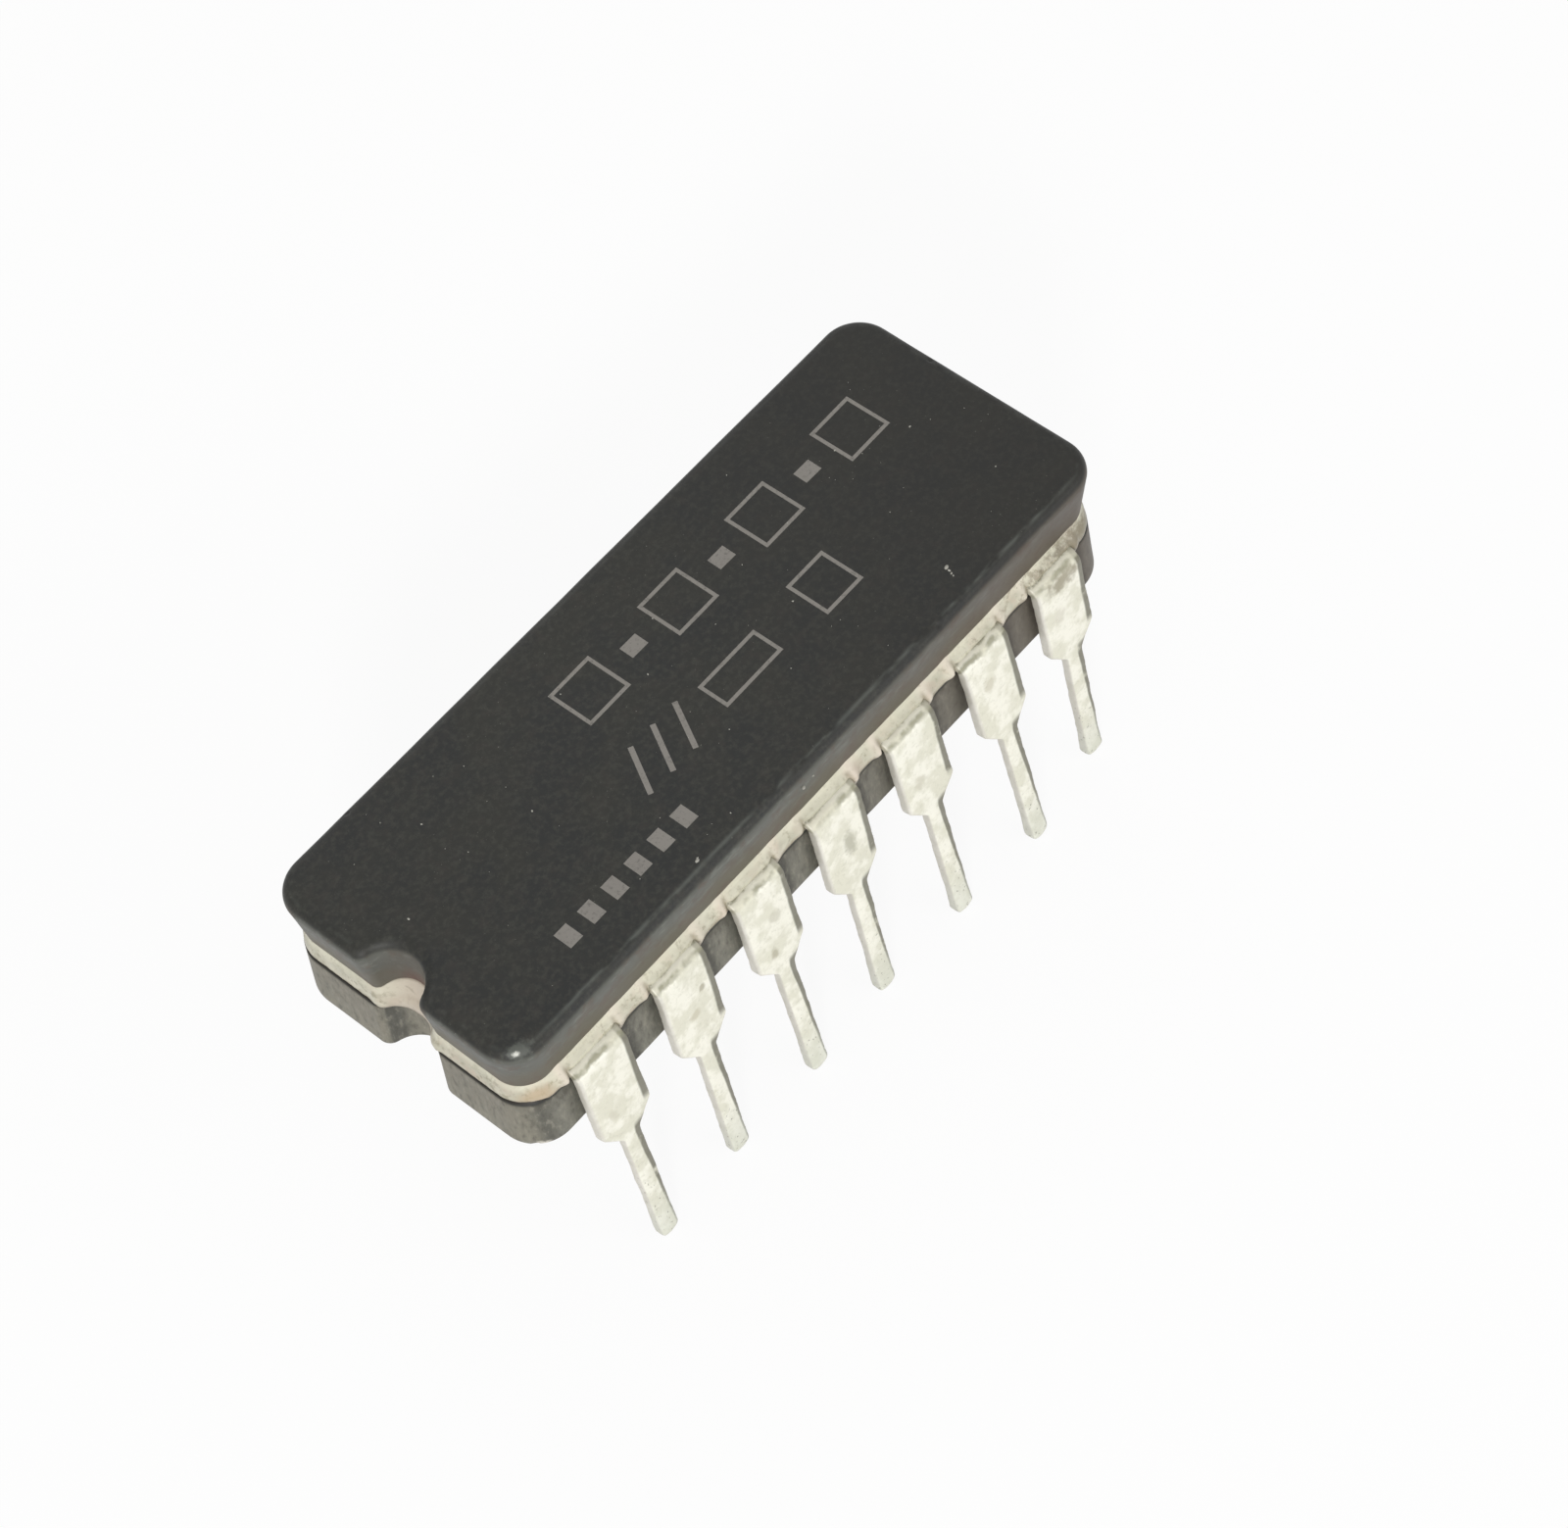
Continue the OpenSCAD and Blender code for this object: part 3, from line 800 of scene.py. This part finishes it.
# Rows of plain printed shapes: the first one's place, then the inputs. The slant is in degrees.
PRINT_INPUTS = ("Count", "Pitch", "Width", "Height", "Slant", "Solid")
PRINT = (
    ((-1.75, 1.4), (4, 2.9, 1.35, 1.3, 0, 0)),
    ((-0.3, 1.4), (3, 2.9, 0.5, 0.4, 0, 1)),
    ((-2.6, -0.85), (3, 0.72, INK_STROKE, 1.3, -28, 1)),
    ((0.65, -0.85), (1, 1.0, 1.9, 0.9, 0, 0)),
    ((3.45, -0.85), (1, 1.0, 1.25, 1.25, 0, 0)),
    ((-6.55, -2.35), (6, 0.73, 0.38, 0.5, 0, 1)),
)


def print_tree(material):
    """A row of printed shapes, each an outlined frame or a solid block, a few thousandths thick."""
    inputs = {
        "Count": 3, "Pitch": 1.4, "Width": 0.9, "Height": 1.3, "Slant": 0.0,
        "Stroke": INK_STROKE, "Solid": 0, "Seed": 1,
    }
    tree, size = new_tree("row of printed shapes", inputs)
    outline = node_of(
        tree, "GeometryNodeCurvePrimitiveQuadrilateral",
        Width=(size["Width"] - size["Stroke"]) * MM, Height=(size["Height"] - size["Stroke"]) * MM,
    )
    stroke = node_of(
        tree, "GeometryNodeCurvePrimitiveQuadrilateral",
        Width=size["Stroke"] * MM, Height=INK_RISE * MM,
    )
    ring = node_of(tree, "GeometryNodeCurveToMesh", Curve=outline, Profile_Curve=stroke)
    block_size = vector_of(tree, size["Width"] * MM, size["Height"] * MM, INK_RISE * MM)
    block = node_of(tree, "GeometryNodeMeshCube", Size=block_size)
    choice = node_of(tree, "GeometryNodeSwitch", {"input_type": "GEOMETRY"}, Switch=size["Solid"])
    feed(tree, choice.inputs["False"], ring)
    feed(tree, choice.inputs["True"], block)
    step = vector_of(tree, size["Pitch"] * MM, 0.0, 0.0)
    row = node_of(tree, "GeometryNodeMeshLine", Count=size["Count"], Offset=step)
    swing = random_number(tree, -INK_SWING, INK_SWING, size["Seed"])
    shapes = node_of(
        tree, "GeometryNodeInstanceOnPoints", Points=row, Instance=choice,
        Rotation=vector_of(tree, 0.0, 0.0, size["Slant"] + swing),
    )
    finish_tree(tree, shapes, material)
    return tree


def make_print(material):
    """All the printed rows on the cap's face, as one piece."""
    tree = print_tree(material)
    rows = []
    for seed, ((x, y), values) in enumerate(PRINT):
        settings = dict(zip(PRINT_INPUTS, values), Seed=seed)
        settings["Slant"] = math.radians(settings["Slant"])
        row = grown("printed_row", tree, settings)
        row.data.transform(Matrix.Translation(Vector((x, y, CAP_HIGH.z)) * MM))
        shade(row.data, False)
        rows.append(row)
    print_piece = placed("printed_shapes", bpy.data.meshes.new("printed_shapes"))
    fill(print_piece, [row.data for row in rows], material)
    for row in rows:
        bpy.data.meshes.remove(row.data)
    return print_piece


# Where the fine dust lies on the cap, in from its sides, its notch end and its far end
DUST_MARGIN = 0.35
DUST_START = 1.3
DUST_END = 0.4

# Specks that stand out: x, y, z and size
SPECKS = (
    (-3.55, -3.3, 8.785, 0.05),
    (-3.5, -3.26, 8.785, 0.03),
    (5.34, -2.73, 8.79, 0.055),
    (5.31, -2.83, 8.79, 0.035),
    (5.28, -2.92, 8.79, 0.03),
    (5.26, -2.99, 8.79, 0.022),
    (-0.58, -3.62, 8.2, 0.05),
    (-0.26, -3.6, 8.25, 0.04),
    (-8.3, 0.62, 8.788, 0.03),
)


def make_dust(material):
    """Grains of pale dust, a few that stand out and many fine ones scattered over the cap."""
    tree, size = new_tree("dust", {"Specks": None, "Seed": 4, "Count": 70})
    fine = node_of(tree, "GeometryNodeMeshLine", Count=size["Count"])
    settings = {"data_type": "FLOAT_VECTOR"}
    spot = node_of(tree, "FunctionNodeRandomValue", settings, Seed=size["Seed"])
    end_x = BODY_LENGTH / 2
    side_y = BODY_WIDTH / 2 - DUST_MARGIN
    spot.inputs[0].default_value = Vector((DUST_START - end_x, -side_y, CAP_HIGH.z)) * MM
    spot.inputs[1].default_value = Vector((end_x - DUST_END, side_y, CAP_HIGH.z)) * MM
    laid = node_of(tree, "GeometryNodeSetPosition", Geometry=fine, Position=spot)
    width = random_number(tree, 0.15, 1.0, size["Seed"]).math("POWER", 3.0) * 0.02 + 0.006
    both = node_of(tree, "GeometryNodeJoinGeometry", Geometry=marked(tree, laid, "size", width))
    feed(tree, both.inputs[0], size["Specks"])
    grain_shape = node_of(tree, "GeometryNodeMeshIcoSphere", Radius=1.0 * MM, Subdivisions=2)
    stored = node_of(tree, "GeometryNodeInputNamedAttribute", {"data_type": "FLOAT"}, Name="size")
    stored = Term(tree, stored.outputs[0])
    turn = random_number(tree, 0.0, 6.28, size["Seed"] + 1)
    grains = node_of(
        tree, "GeometryNodeInstanceOnPoints", Points=both, Instance=grain_shape,
        Rotation=vector_of(tree, 0.0, 0.0, turn),
        Scale=vector_of(tree, stored * 1.2, stored * 0.8, stored * 0.4),
    )
    finish_tree(tree, grains, material)

    places = [speck[:3] for speck in SPECKS]
    points = mesh_object("dust_specks", places, [], {"size": [speck[3] for speck in SPECKS]})
    dust = grown("dust_specks", tree, {}, points)
    paint(dust, material)
    return dust


# Materials


def colour(*srgb):
    """A colour written as 0 to 255 steps, as linear light."""
    steps = [value / 255 for value in srgb]
    return (*[s / 12.92 if s <= 0.04045 else ((s + 0.055) / 1.055) ** 2.4 for s in steps], 1.0)


class Coat:
    """The colour of a surface, built up in layers. A tone is three steps from 0 to 255.

    The first layer goes from one tone to another with an amount from 0 to 1.
    """

    def __init__(self, amount, first, second):
        self.tree = amount.tree
        self.socket = self.blend(amount, colour(*first), colour(*second))

    def blend(self, amount, under, over):
        node = node_of(self.tree, "ShaderNodeMix", {"data_type": "RGBA"})
        feed(self.tree, node.inputs[0], amount)
        feed(self.tree, node.inputs[6], under)
        feed(self.tree, node.inputs[7], over)
        return node.outputs[2]

    def over(self, amount, tone):
        """Lays a tone or another coat over this one, by an amount from 0 to 1."""
        laid = tone.socket if isinstance(tone, Coat) else colour(*tone)
        self.socket = self.blend(amount, self.socket, laid)


class Finish:
    """A material with a Principled surface, and short ways to its nodes."""

    def __init__(self, name):
        self.material = bpy.data.materials.new(name)
        self.material.use_nodes = True
        self.tree = self.material.node_tree
        self.surface = self.tree.nodes["Principled BSDF"]
        self.place = self.tree.nodes.new("ShaderNodeTexCoord").outputs["Object"]

    def set(self, **values):
        for name, value in values.items():
            feed(self.tree, self.surface.inputs[name.replace("_", " ")], value)

    def noise(self, size, detail=3.0, rough=0.55, stretch=None):
        """Noise with lumps of a size in millimetres."""
        place = self.place
        if stretch:
            place = node_of(self.tree, "ShaderNodeMapping", Vector=place, Scale=stretch)
        return noise_at(self.tree, place, 1 / (size * MM), detail, rough)

    def mark(self, name):
        """A number kept at each point of the mesh under a name."""
        node = node_of(self.tree, "ShaderNodeAttribute", {"attribute_name": name})
        return Term(self.tree, node.outputs["Fac"])

    def axis(self, index):
        """One object coordinate, in millimetres."""
        return parts_of(self.tree, self.place)[index] / MM

    def near(self, point, reach, uneven=0.0):
        """1 at a point in millimetres, falling to 0 at a reach along each axis.

        uneven pushes the outline out where it is above 0, and in where it is below.
        """
        shifted = self.vector_math("SUBTRACT", self.place, Vector(point) * MM)
        scaled = self.vector_math("DIVIDE", shifted, Vector(reach) * MM)
        length = self.vector_math("LENGTH", scaled)
        return 1 - (Term(self.tree, length.outputs["Value"]) - uneven).soft_step(0.35, 1.0)

    def vector_math(self, operation, *values):
        return node_in_order(self.tree, "ShaderNodeVectorMath", values, operation=operation)

    def bump(self, height, depth, strength=1.0):
        """Bump from a height of 0 to 1, with a depth in millimetres."""
        return node_of(
            self.tree, "ShaderNodeBump", Strength=strength, Distance=depth * MM, Height=height
        )


# Places of single marks on the ceramic and the glass; the two at the cap's notch-end corner are a
# painted glint and its halo
NOTCH_WALL = (-8.8, 0.1, 7.9)
NOTCH_FOOT = (-8.7, -0.1, 7.3)
BASE_NICK = (-9.31, -3.41, 5.0)
PAINTED_GLINT_HALO = (-9.2, -3.36, 8.74)
PAINTED_GLINT = (-9.3, -3.36, 8.73)
GLASS_CORNER = (-9.2, -3.5, 6.75)
GLASS_FAR_END = (8.6, -3.6, 6.78)


class CeramicFinish(Finish):
    """Pressed dark ceramic: a flecked face, rubbed cap sides and a gritty base."""

    def __init__(self):
        super().__init__("pressed dark ceramic")
        self.along = self.axis(0)
        self.height = self.axis(2)
        self.cloud = self.noise(1.8, 4.0, 0.6)
        self.mottle = self.noise(0.3, 3.0, 0.6)
        self.fleck = self.noise(0.14, 3.0, 0.7)
        self.pepper = self.noise(0.055, 2.0, 0.6)
        normal = node_of(self.tree, "ShaderNodeNewGeometry").outputs["Normal"]
        to_x, _, to_z = parts_of(self.tree, normal)
        self.up = to_z.soft_step(0.2, 0.62)
        self.to_end = (to_x * -1).soft_step(0.5, 0.95)

    def face(self):
        """The cap's flat face: nearly black and flecked, plainer towards the far end. Its darkness
        against the sides is partly its own tone and partly painted shade.
        """
        tone = Coat(self.cloud.soft_step(0.35, 0.65), (45, 46, 45), (50, 50, 46))
        tone.over(self.mottle.soft_step(0.45, 0.8) * 0.5, (64, 60, 56))
        tone.over(self.fleck.soft_step(0.42, 0.72) * 0.6, (67, 67, 61))
        tone.over(self.along.soft_step(-2.0, 9.0) * 0.5, (43, 42, 39))
        return tone

    def cap_side(self):
        """The cap's sloping side: pale streaks near the top, and warm patches."""
        tone = Coat(self.mottle, (84, 80, 69), (100, 96, 84))
        tone.over((self.height + (self.cloud - 0.5) * 0.6).soft_step(7.7, 8.2), (90, 91, 85))
        streak = self.noise(0.22, 3.0, 0.6, (0.4, 1.0, 1.0)).soft_step(0.5, 0.66)
        tone.over(streak * self.height.soft_step(7.4, 8.3) * 0.6, (112, 114, 107))
        warm = self.noise(0.6, 4.0, 0.65).soft_step(0.48, 0.64)
        tone.over(warm * 0.5, (92, 79, 70))
        return tone

    def base_side(self):
        """The base's side: painted shadow beside the leads, painted shade under the glass, pale low
        at the ends.
        """
        cloudy = self.mottle + self.cloud
        tone = Coat((cloudy - 0.5).clip(0, 1), (99, 98, 89), (133, 131, 120))
        # Painted shadow of the leads, darkest just on the +X side of each lead
        lead_shadow = ((self.along - 0.25) * (2 * math.pi / PITCH)).math("COSINE")
        lead_shadow = (lead_shadow + (self.cloud - 0.5) * 0.6).soft_step(-1.05, -0.2)
        tone.over(lead_shadow * (1 - self.to_end) * 0.7, (70, 69, 62))
        # Painted shade under the glass's overhang
        shade_under_glass = self.height.soft_step(BASE_HIGH.z - 0.6, BASE_HIGH.z) * (1 - self.to_end)
        tone.over(shade_under_glass * 0.45, (68, 65, 56))
        tone.over(self.to_end * 0.85, (100, 99, 87))
        low = 1 - (self.height + (self.cloud - 0.5) * 1.6).soft_step(BASE_LOW.z, BASE_HIGH.z)
        tone.over(self.to_end * low * 0.7, (124, 122, 108))
        tone.over(self.to_end * (cloudy - 0.45).clip(0, 1), (134, 128, 115))
        grit = self.noise(0.13, 3.0, 0.65, (1.0, 1.0, 0.4))
        tone.over(grit.soft_step(0.5, 0.7) * 0.5, (146, 142, 129))
        tone.over((1 - grit).soft_step(0.5, 0.7) * 0.5, (66, 62, 54))
        return tone

    def wear_and_painted_light(self, tone, edge):
        """Marks of handling over the ceramic's own tone, with a painted highlight line along the top
        edge, a painted glint at the notch-end corner and painted shade in the crevice under the glass
        at the ends.
        """
        outward_x = self.along.math("ABSOLUTE")
        # Painted highlight along the rubbed top edge, strongest on the front edge
        broken = self.noise(0.5, 3.0, 0.7, (0.35, 1.0, 1.0)).soft_step(0.42, 0.62)
        front = (1 - self.axis(1).soft_step(-3.55, -3.2)) * (1 - outward_x.soft_step(7.5, 9.3))
        tone.over(edge * broken * (0.1 + front * 0.35), (120, 124, 118))
        nick = self.near(BASE_NICK, (0.2, 0.2, 0.13), (self.fleck - 0.5) * 1.5)
        tone.over(nick * 0.9, (205, 200, 188))
        # Painted shade in the crevice where the glass meets the base's top edge at the ends
        rim = 1 - (self.height - BASE_HIGH.z).math("ABSOLUTE").soft_step(0.01, 0.05)
        rim = rim * (0.4 + self.mottle) * outward_x.soft_step(8.5, 9.3)
        tone.over(rim.clip(0, 1) * 0.8, (48, 42, 36))
        # Painted glint on the rounded corner by the notch, with a soft painted halo
        ragged = (self.fleck - 0.5) * 1.2
        tone.over(self.near(PAINTED_GLINT_HALO, (0.45, 0.3, 0.2), ragged) * 0.3, (130, 134, 126))
        tone.over(self.near(PAINTED_GLINT, (0.13, 0.09, 0.07), ragged), (226, 226, 216))
        speck = self.pepper.soft_step(0.72, 0.75) * self.cloud.soft_step(0.45, 0.6)
        tone.over(speck * 0.45, (150, 148, 140))


def ceramic_finish():
    finish = CeramicFinish()
    edge = finish.mark("edge")
    tone = finish.base_side()
    tone.over(finish.height.soft_step(BASE_HIGH.z, CAP_LOW.z), finish.cap_side())
    tone.over(finish.along.soft_step(-3.0, 9.0) * (0.4 + finish.cloud * 0.4), (80, 69, 60))
    tone.over(finish.near(NOTCH_WALL, (1.0, 1.0, 1.5)) * 0.5, (80, 72, 62))
    tone.over(finish.near(NOTCH_FOOT, (0.8, 0.9, 0.9)) * 0.75, (100, 74, 66))
    # The upward face takes the face's tone: partly the ceramic's own darker top and partly painted
    # shade of the same ceramic
    tone.over(finish.up, finish.face())
    finish.wear_and_painted_light(tone, edge)
    finish.set(Base_Color=tone, Specular_IOR_Level=0.3)
    finish.set(Roughness=0.4 + finish.mottle * 0.2 - edge * 0.08)
    finish.set(Normal=finish.bump(finish.mottle * 0.7 + finish.pepper * 0.3, 0.006, 0.6))
    return finish.material


def glass_finish():
    finish = Finish("cream sealing glass")
    cloud = finish.noise(0.9, 3.0, 0.6)
    vein = finish.noise(0.16, 4.0, 0.7)
    blush = finish.noise(0.6, 3.0, 0.6)
    level = finish.axis(2).soft_step(BASE_HIGH.z - 0.05, CAP_LOW.z + 0.15)
    tone = Coat(cloud.soft_step(0.4, 0.62), (182, 179, 160), (204, 200, 181))
    tone.over(blush.soft_step(0.48, 0.66) * 0.6, (192, 176, 157))
    tone.over(vein.soft_step(0.5, 0.68) * 0.8, (152, 146, 122))
    # Paler towards the cap as a painted highlight, darker towards the base as painted shade
    tone.over(level.soft_step(0.7, 1.0) * 0.5, (222, 219, 199))
    tone.over((1 - level.soft_step(0.0, 0.3)) * 0.45, (168, 154, 128))
    tone.over(finish.near(GLASS_CORNER, (0.7, 0.6, 0.45)) * 0.65, (182, 160, 128))
    tone.over(finish.mark("lead_root") * 0.35, (206, 203, 181))
    tone.over(finish.mark("bead").clip(0, 1) * 0.6, (222, 209, 194))
    # Painted shade in the crease where the glass meets a lead's side edge
    crease_and_shade = finish.mark("crease_and_shade") * (0.1 + vein) * (1 - level.soft_step(0.75, 0.95))
    tone.over(crease_and_shade, (140, 130, 106))
    tone.over(finish.mark("notch") * 0.8, (188, 174, 158))
    far = finish.axis(0).soft_step(4.5, 8.5)
    grime = (finish.noise(0.35, 4.0, 0.75) + far * 0.08).soft_step(0.58, 0.68)
    tone.over(grime * (0.35 + far * 0.2), (122, 108, 84))
    far_stain = finish.near(GLASS_FAR_END, (1.7, 1.0, 0.55), (vein - 0.5) * 1.4)
    tone.over(far_stain * 0.85, (126, 118, 98))
    finish.set(Base_Color=tone, Roughness=0.3 + vein * 0.2, Specular_IOR_Level=0.5)
    finish.set(Normal=finish.bump(cloud * 0.5 + vein * 0.5, 0.02, 0.6))
    return finish.material


# Marks that time and handling left on the leads of the front row: place, reach, tone, strength
LEAD_PATCHES = (
    ((0.05, -3.98, 5.55), (0.24, 0.5, 0.42), (178, 176, 158), 0.85),
    ((-4.75, -3.95, 5.9), (0.13, 0.5, 0.13), (168, 162, 140), 0.8),
    ((-5.15, -4.0, 5.35), (0.2, 0.5, 0.16), (196, 190, 168), 0.7),
    ((-2.45, -4.0, 5.75), (0.2, 0.5, 0.22), (200, 197, 180), 0.7),
    ((-2.75, -4.05, 4.75), (0.14, 0.5, 0.2), (164, 158, 134), 0.7),
    ((-7.95, -4.0, 5.0), (0.16, 0.5, 0.3), (204, 200, 182), 0.6),
    ((2.3, -4.0, 5.2), (0.22, 0.5, 0.3), (200, 196, 178), 0.6),
    ((4.9, -4.0, 5.9), (0.25, 0.5, 0.25), (190, 184, 162), 0.6),
    ((7.4, -4.0, 5.6), (0.2, 0.5, 0.35), (206, 202, 186), 0.6),
    ((7.8, -3.75, 6.6), (0.75, 0.45, 0.32), (146, 138, 116), 0.8),
)


def lead_finish():
    finish = Finish("solder-dipped lead")
    across = finish.mark("across")
    down = finish.mark("down")
    past_coat = finish.mark("past_coat")
    blotch = finish.noise(0.55, 3.0, 0.6)
    grainy = finish.noise(0.12, 4.0, 0.7)
    pits = finish.noise(0.075, 2.0, 0.5)
    ragged = (finish.noise(0.2, 3.0, 0.55) - 0.5) * 1.3 + 0.1
    tone = Coat(blotch.soft_step(0.4, 0.6), (221, 219, 202), (240, 238, 225))
    tone.over(grainy.soft_step(0.5, 0.72) * 0.45, (198, 196, 178))
    for place, reach, patch, strength in LEAD_PATCHES:
        tone.over(finish.near(place, reach, ragged) * strength, patch)

    # Painted shade down the +X edge, past the shoulder's middle and along the pin's upper part
    shoulder_edge_shade = (across - 0.74 + down * 0.03).soft_step(0.0, 0.09)
    shoulder_edge_shade = shoulder_edge_shade * (1 - down.soft_step(1.85, 2.15))
    pin_edge_shade = (across - 0.1 - (down - 2.3) * 0.14).soft_step(0.0, 0.2)
    pin_edge_shade = pin_edge_shade * down.soft_step(2.35, 2.55)
    edge_shade = shoulder_edge_shade.math("MAXIMUM", pin_edge_shade) * blotch.soft_step(0.2, 0.42)
    tone.over(edge_shade * 0.85, (94, 91, 75))
    # Painted shade on the rounded -X edge
    tone.over((across * -1).soft_step(0.86, 0.98) * 0.6, (204, 199, 192))
    tone.over(down.soft_step(4.6, 6.4) * 0.5, (206, 209, 196))

    # The solder's edge at the bend, with the bare metal before it, a dark line at the solder's edge
    # that is partly painted shade of the bend, and nearer the glass a painted shadow line where the
    # lead leaves it
    past_coat = past_coat + (blotch - 0.5) * 0.22
    bare = 1 - past_coat.soft_step(-0.03, 0.02)
    tone.over(bare * 0.6, (210, 206, 186))
    crease_and_shade = past_coat.soft_step(-0.10, -0.03) * (1 - past_coat.soft_step(0.0, 0.06))
    tone.over(crease_and_shade * blotch.soft_step(0.35, 0.6) * 0.85, (138, 136, 113))
    exit_shade = past_coat.soft_step(-0.23, -0.19) * (1 - past_coat.soft_step(-0.18, -0.13))
    tone.over(exit_shade * grainy.soft_step(0.35, 0.6) * 0.8, (128, 124, 100))

    pit = pits.soft_step(0.66, 0.72) * down.soft_step(3.0, 5.5)
    tone.over(pit * 0.8, (130, 128, 114))
    finish.set(Base_Color=tone, Metallic=0.25, Roughness=0.34 + grainy * 0.25)
    finish.set(Normal=finish.bump(blotch * 0.4 + grainy * 0.5 - pit, 0.018, 0.7))
    return finish.material


def ink_finish():
    finish = Finish("marking ink")
    tone = Coat(finish.noise(0.7), (129, 125, 119), (141, 137, 131))
    thin = finish.noise(0.09, 3.0, 0.7).soft_step(0.5, 0.75)
    tone.over(thin * 0.55, (84, 82, 78))
    finish.set(Base_Color=tone, Roughness=0.6, Specular_IOR_Level=0.3)
    return finish.material


def dust_finish():
    finish = Finish("pale dust")
    tone = Coat(finish.noise(0.3), (130, 128, 120), (200, 198, 188))
    finish.set(Base_Color=tone, Roughness=0.9, Specular_IOR_Level=0.2)
    return finish.material


def plain_metal(name, dark, pale, size, metallic, roughness):
    """A metal that goes from a dark tone to a pale one in lumps of a size in millimetres."""
    finish = Finish(name)
    finish.set(Base_Color=Coat(finish.noise(size), dark, pale))
    finish.set(Metallic=metallic, Roughness=roughness)
    finish.set(Normal=finish.bump(finish.noise(size * 0.4), 0.002))
    return finish.material


# Studio

FLOOR_SIZE = 800
# How much of the floor that the camera sees is plain white. The rest takes the object's shadow.
FLOOR_GLOW = 0.92
LAMP_AIM = Vector((0, 0, 6))


def make_camera():
    """The camera, turned about its own line of sight by the roll."""
    towards = Vector(
        (
            math.cos(CAMERA_ELEVATION) * math.cos(CAMERA_AZIMUTH),
            math.cos(CAMERA_ELEVATION) * math.sin(CAMERA_AZIMUTH),
            math.sin(CAMERA_ELEVATION),
        )
    )
    right = (-towards).cross(Vector((0, 0, 1))).normalized()
    down = (-towards).cross(right)
    turned_right = right * math.cos(CAMERA_ROLL) - down * math.sin(CAMERA_ROLL)
    turned_down = right * math.sin(CAMERA_ROLL) + down * math.cos(CAMERA_ROLL)
    camera = placed("camera", bpy.data.cameras.new("camera"))
    turn = Matrix((turned_right, -turned_down, towards)).transposed()
    stand = Matrix.Translation((CAMERA_AIM + towards * CAMERA_DISTANCE) * MM)
    camera.matrix_world = stand @ turn.to_4x4()
    camera.data.lens = CAMERA_LENS
    camera.data.sensor_width = 36
    camera.data.clip_start = 0.001
    bpy.context.scene.camera = camera


def make_lamp(name, direction, distance, width, height, power, tint=(1, 1, 1)):
    """A soft lamp in a direction from the body, a distance away in millimetres."""
    lamp = placed(name, bpy.data.lights.new(name, "AREA"))
    lamp.data.shape = "RECTANGLE"
    lamp.data.size = width * MM
    lamp.data.size_y = height * MM
    lamp.data.energy = power
    lamp.data.color = tint
    towards = Vector(direction).normalized()
    lamp.location = (LAMP_AIM + towards * distance) * MM
    lamp.rotation_euler = towards.to_track_quat("Z", "Y").to_euler()


def make_world():
    """A surround that is white to the camera, and lights the object at half of that."""
    world = bpy.data.worlds.new("studio")
    bpy.context.scene.world = world
    world.use_nodes = True
    tree = world.node_tree
    back = tree.nodes["Background"]
    back.inputs["Color"].default_value = (1, 1, 1, 1)
    seen = Term(tree, node_of(tree, "ShaderNodeLightPath").outputs["Is Camera Ray"])
    feed(tree, back.inputs["Strength"], 0.5 + seen * 0.5)


def make_floor():
    """A pale floor, plain white to the camera but for the shadow on it."""
    reach = FLOOR_SIZE / 2
    corners = [(-reach, -reach, 0), (reach, -reach, 0), (reach, reach, 0), (-reach, reach, 0)]
    floor = mesh_object("floor", corners, [(0, 1, 2, 3)])
    finish = Finish("pale floor")
    tree = finish.tree
    finish.set(Base_Color=colour(240, 240, 239), Roughness=0.9, Specular_IOR_Level=0.1)
    glow = node_of(tree, "ShaderNodeEmission", Color=(1, 1, 1, 1), Strength=1.0)
    rays = node_of(tree, "ShaderNodeLightPath")
    seen = Term(tree, rays.outputs["Is Camera Ray"])
    for kind in ("Is Glossy Ray", "Is Transmission Ray"):
        seen = seen.math("MAXIMUM", Term(tree, rays.outputs[kind]))
    shown = (seen * FLOOR_GLOW, finish.surface, glow)
    blend = node_in_order(tree, "ShaderNodeMixShader", shown)
    feed(tree, tree.nodes["Material Output"].inputs["Surface"], blend)
    paint(floor, finish.material)


# Assembly

make_camera()
make_world()
make_floor()
make_lamp("key", (-0.64, -0.58, 0.55), 300, 50, 50, 0.46)
make_lamp("front strip", (0.32, -0.85, 0.42), 300, 220, 50, 0.2)
make_lamp("back fill", (0.5, 0.8, 0.7), 320, 160, 160, 0.1)

ceramic = ceramic_finish()
cap = make_ceramic_cap()
base = make_ceramic_base()
seal = make_glass_seal()
for piece, material, node in (
    (cap, ceramic, "ceramic_cap"),
    (base, ceramic, "ceramic_base"),
    (seal, glass_finish(), "glass_seal"),
):
    paint(piece, material)
    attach(piece, "root")
    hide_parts(node)

for lead, node in make_leads(lead_finish()):
    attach(lead, "root")
    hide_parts(node)

ink = ink_finish()
marks = make_print(ink)
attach(marks, "root")
dust = make_dust(dust_finish())
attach(dust, "root")

silicon = plain_metal("polished silicon", (58, 62, 74), (80, 84, 98), 0.3, 0.4, 0.2)
gold = plain_metal("reflowed gold alloy", (170, 130, 60), (214, 178, 96), 0.2, 1.0, 0.35)
wire = plain_metal("drawn bond wire", (190, 190, 196), (220, 220, 224), 0.05, 1.0, 0.3)
for name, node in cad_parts.items():
    if name == "die":
        paint(node, silicon)
    elif name == "die_attach":
        paint(node, gold)
    elif name.startswith("bond_wire"):
        paint(node, wire)

scene = bpy.context.scene
scene.view_settings.view_transform = "Standard"
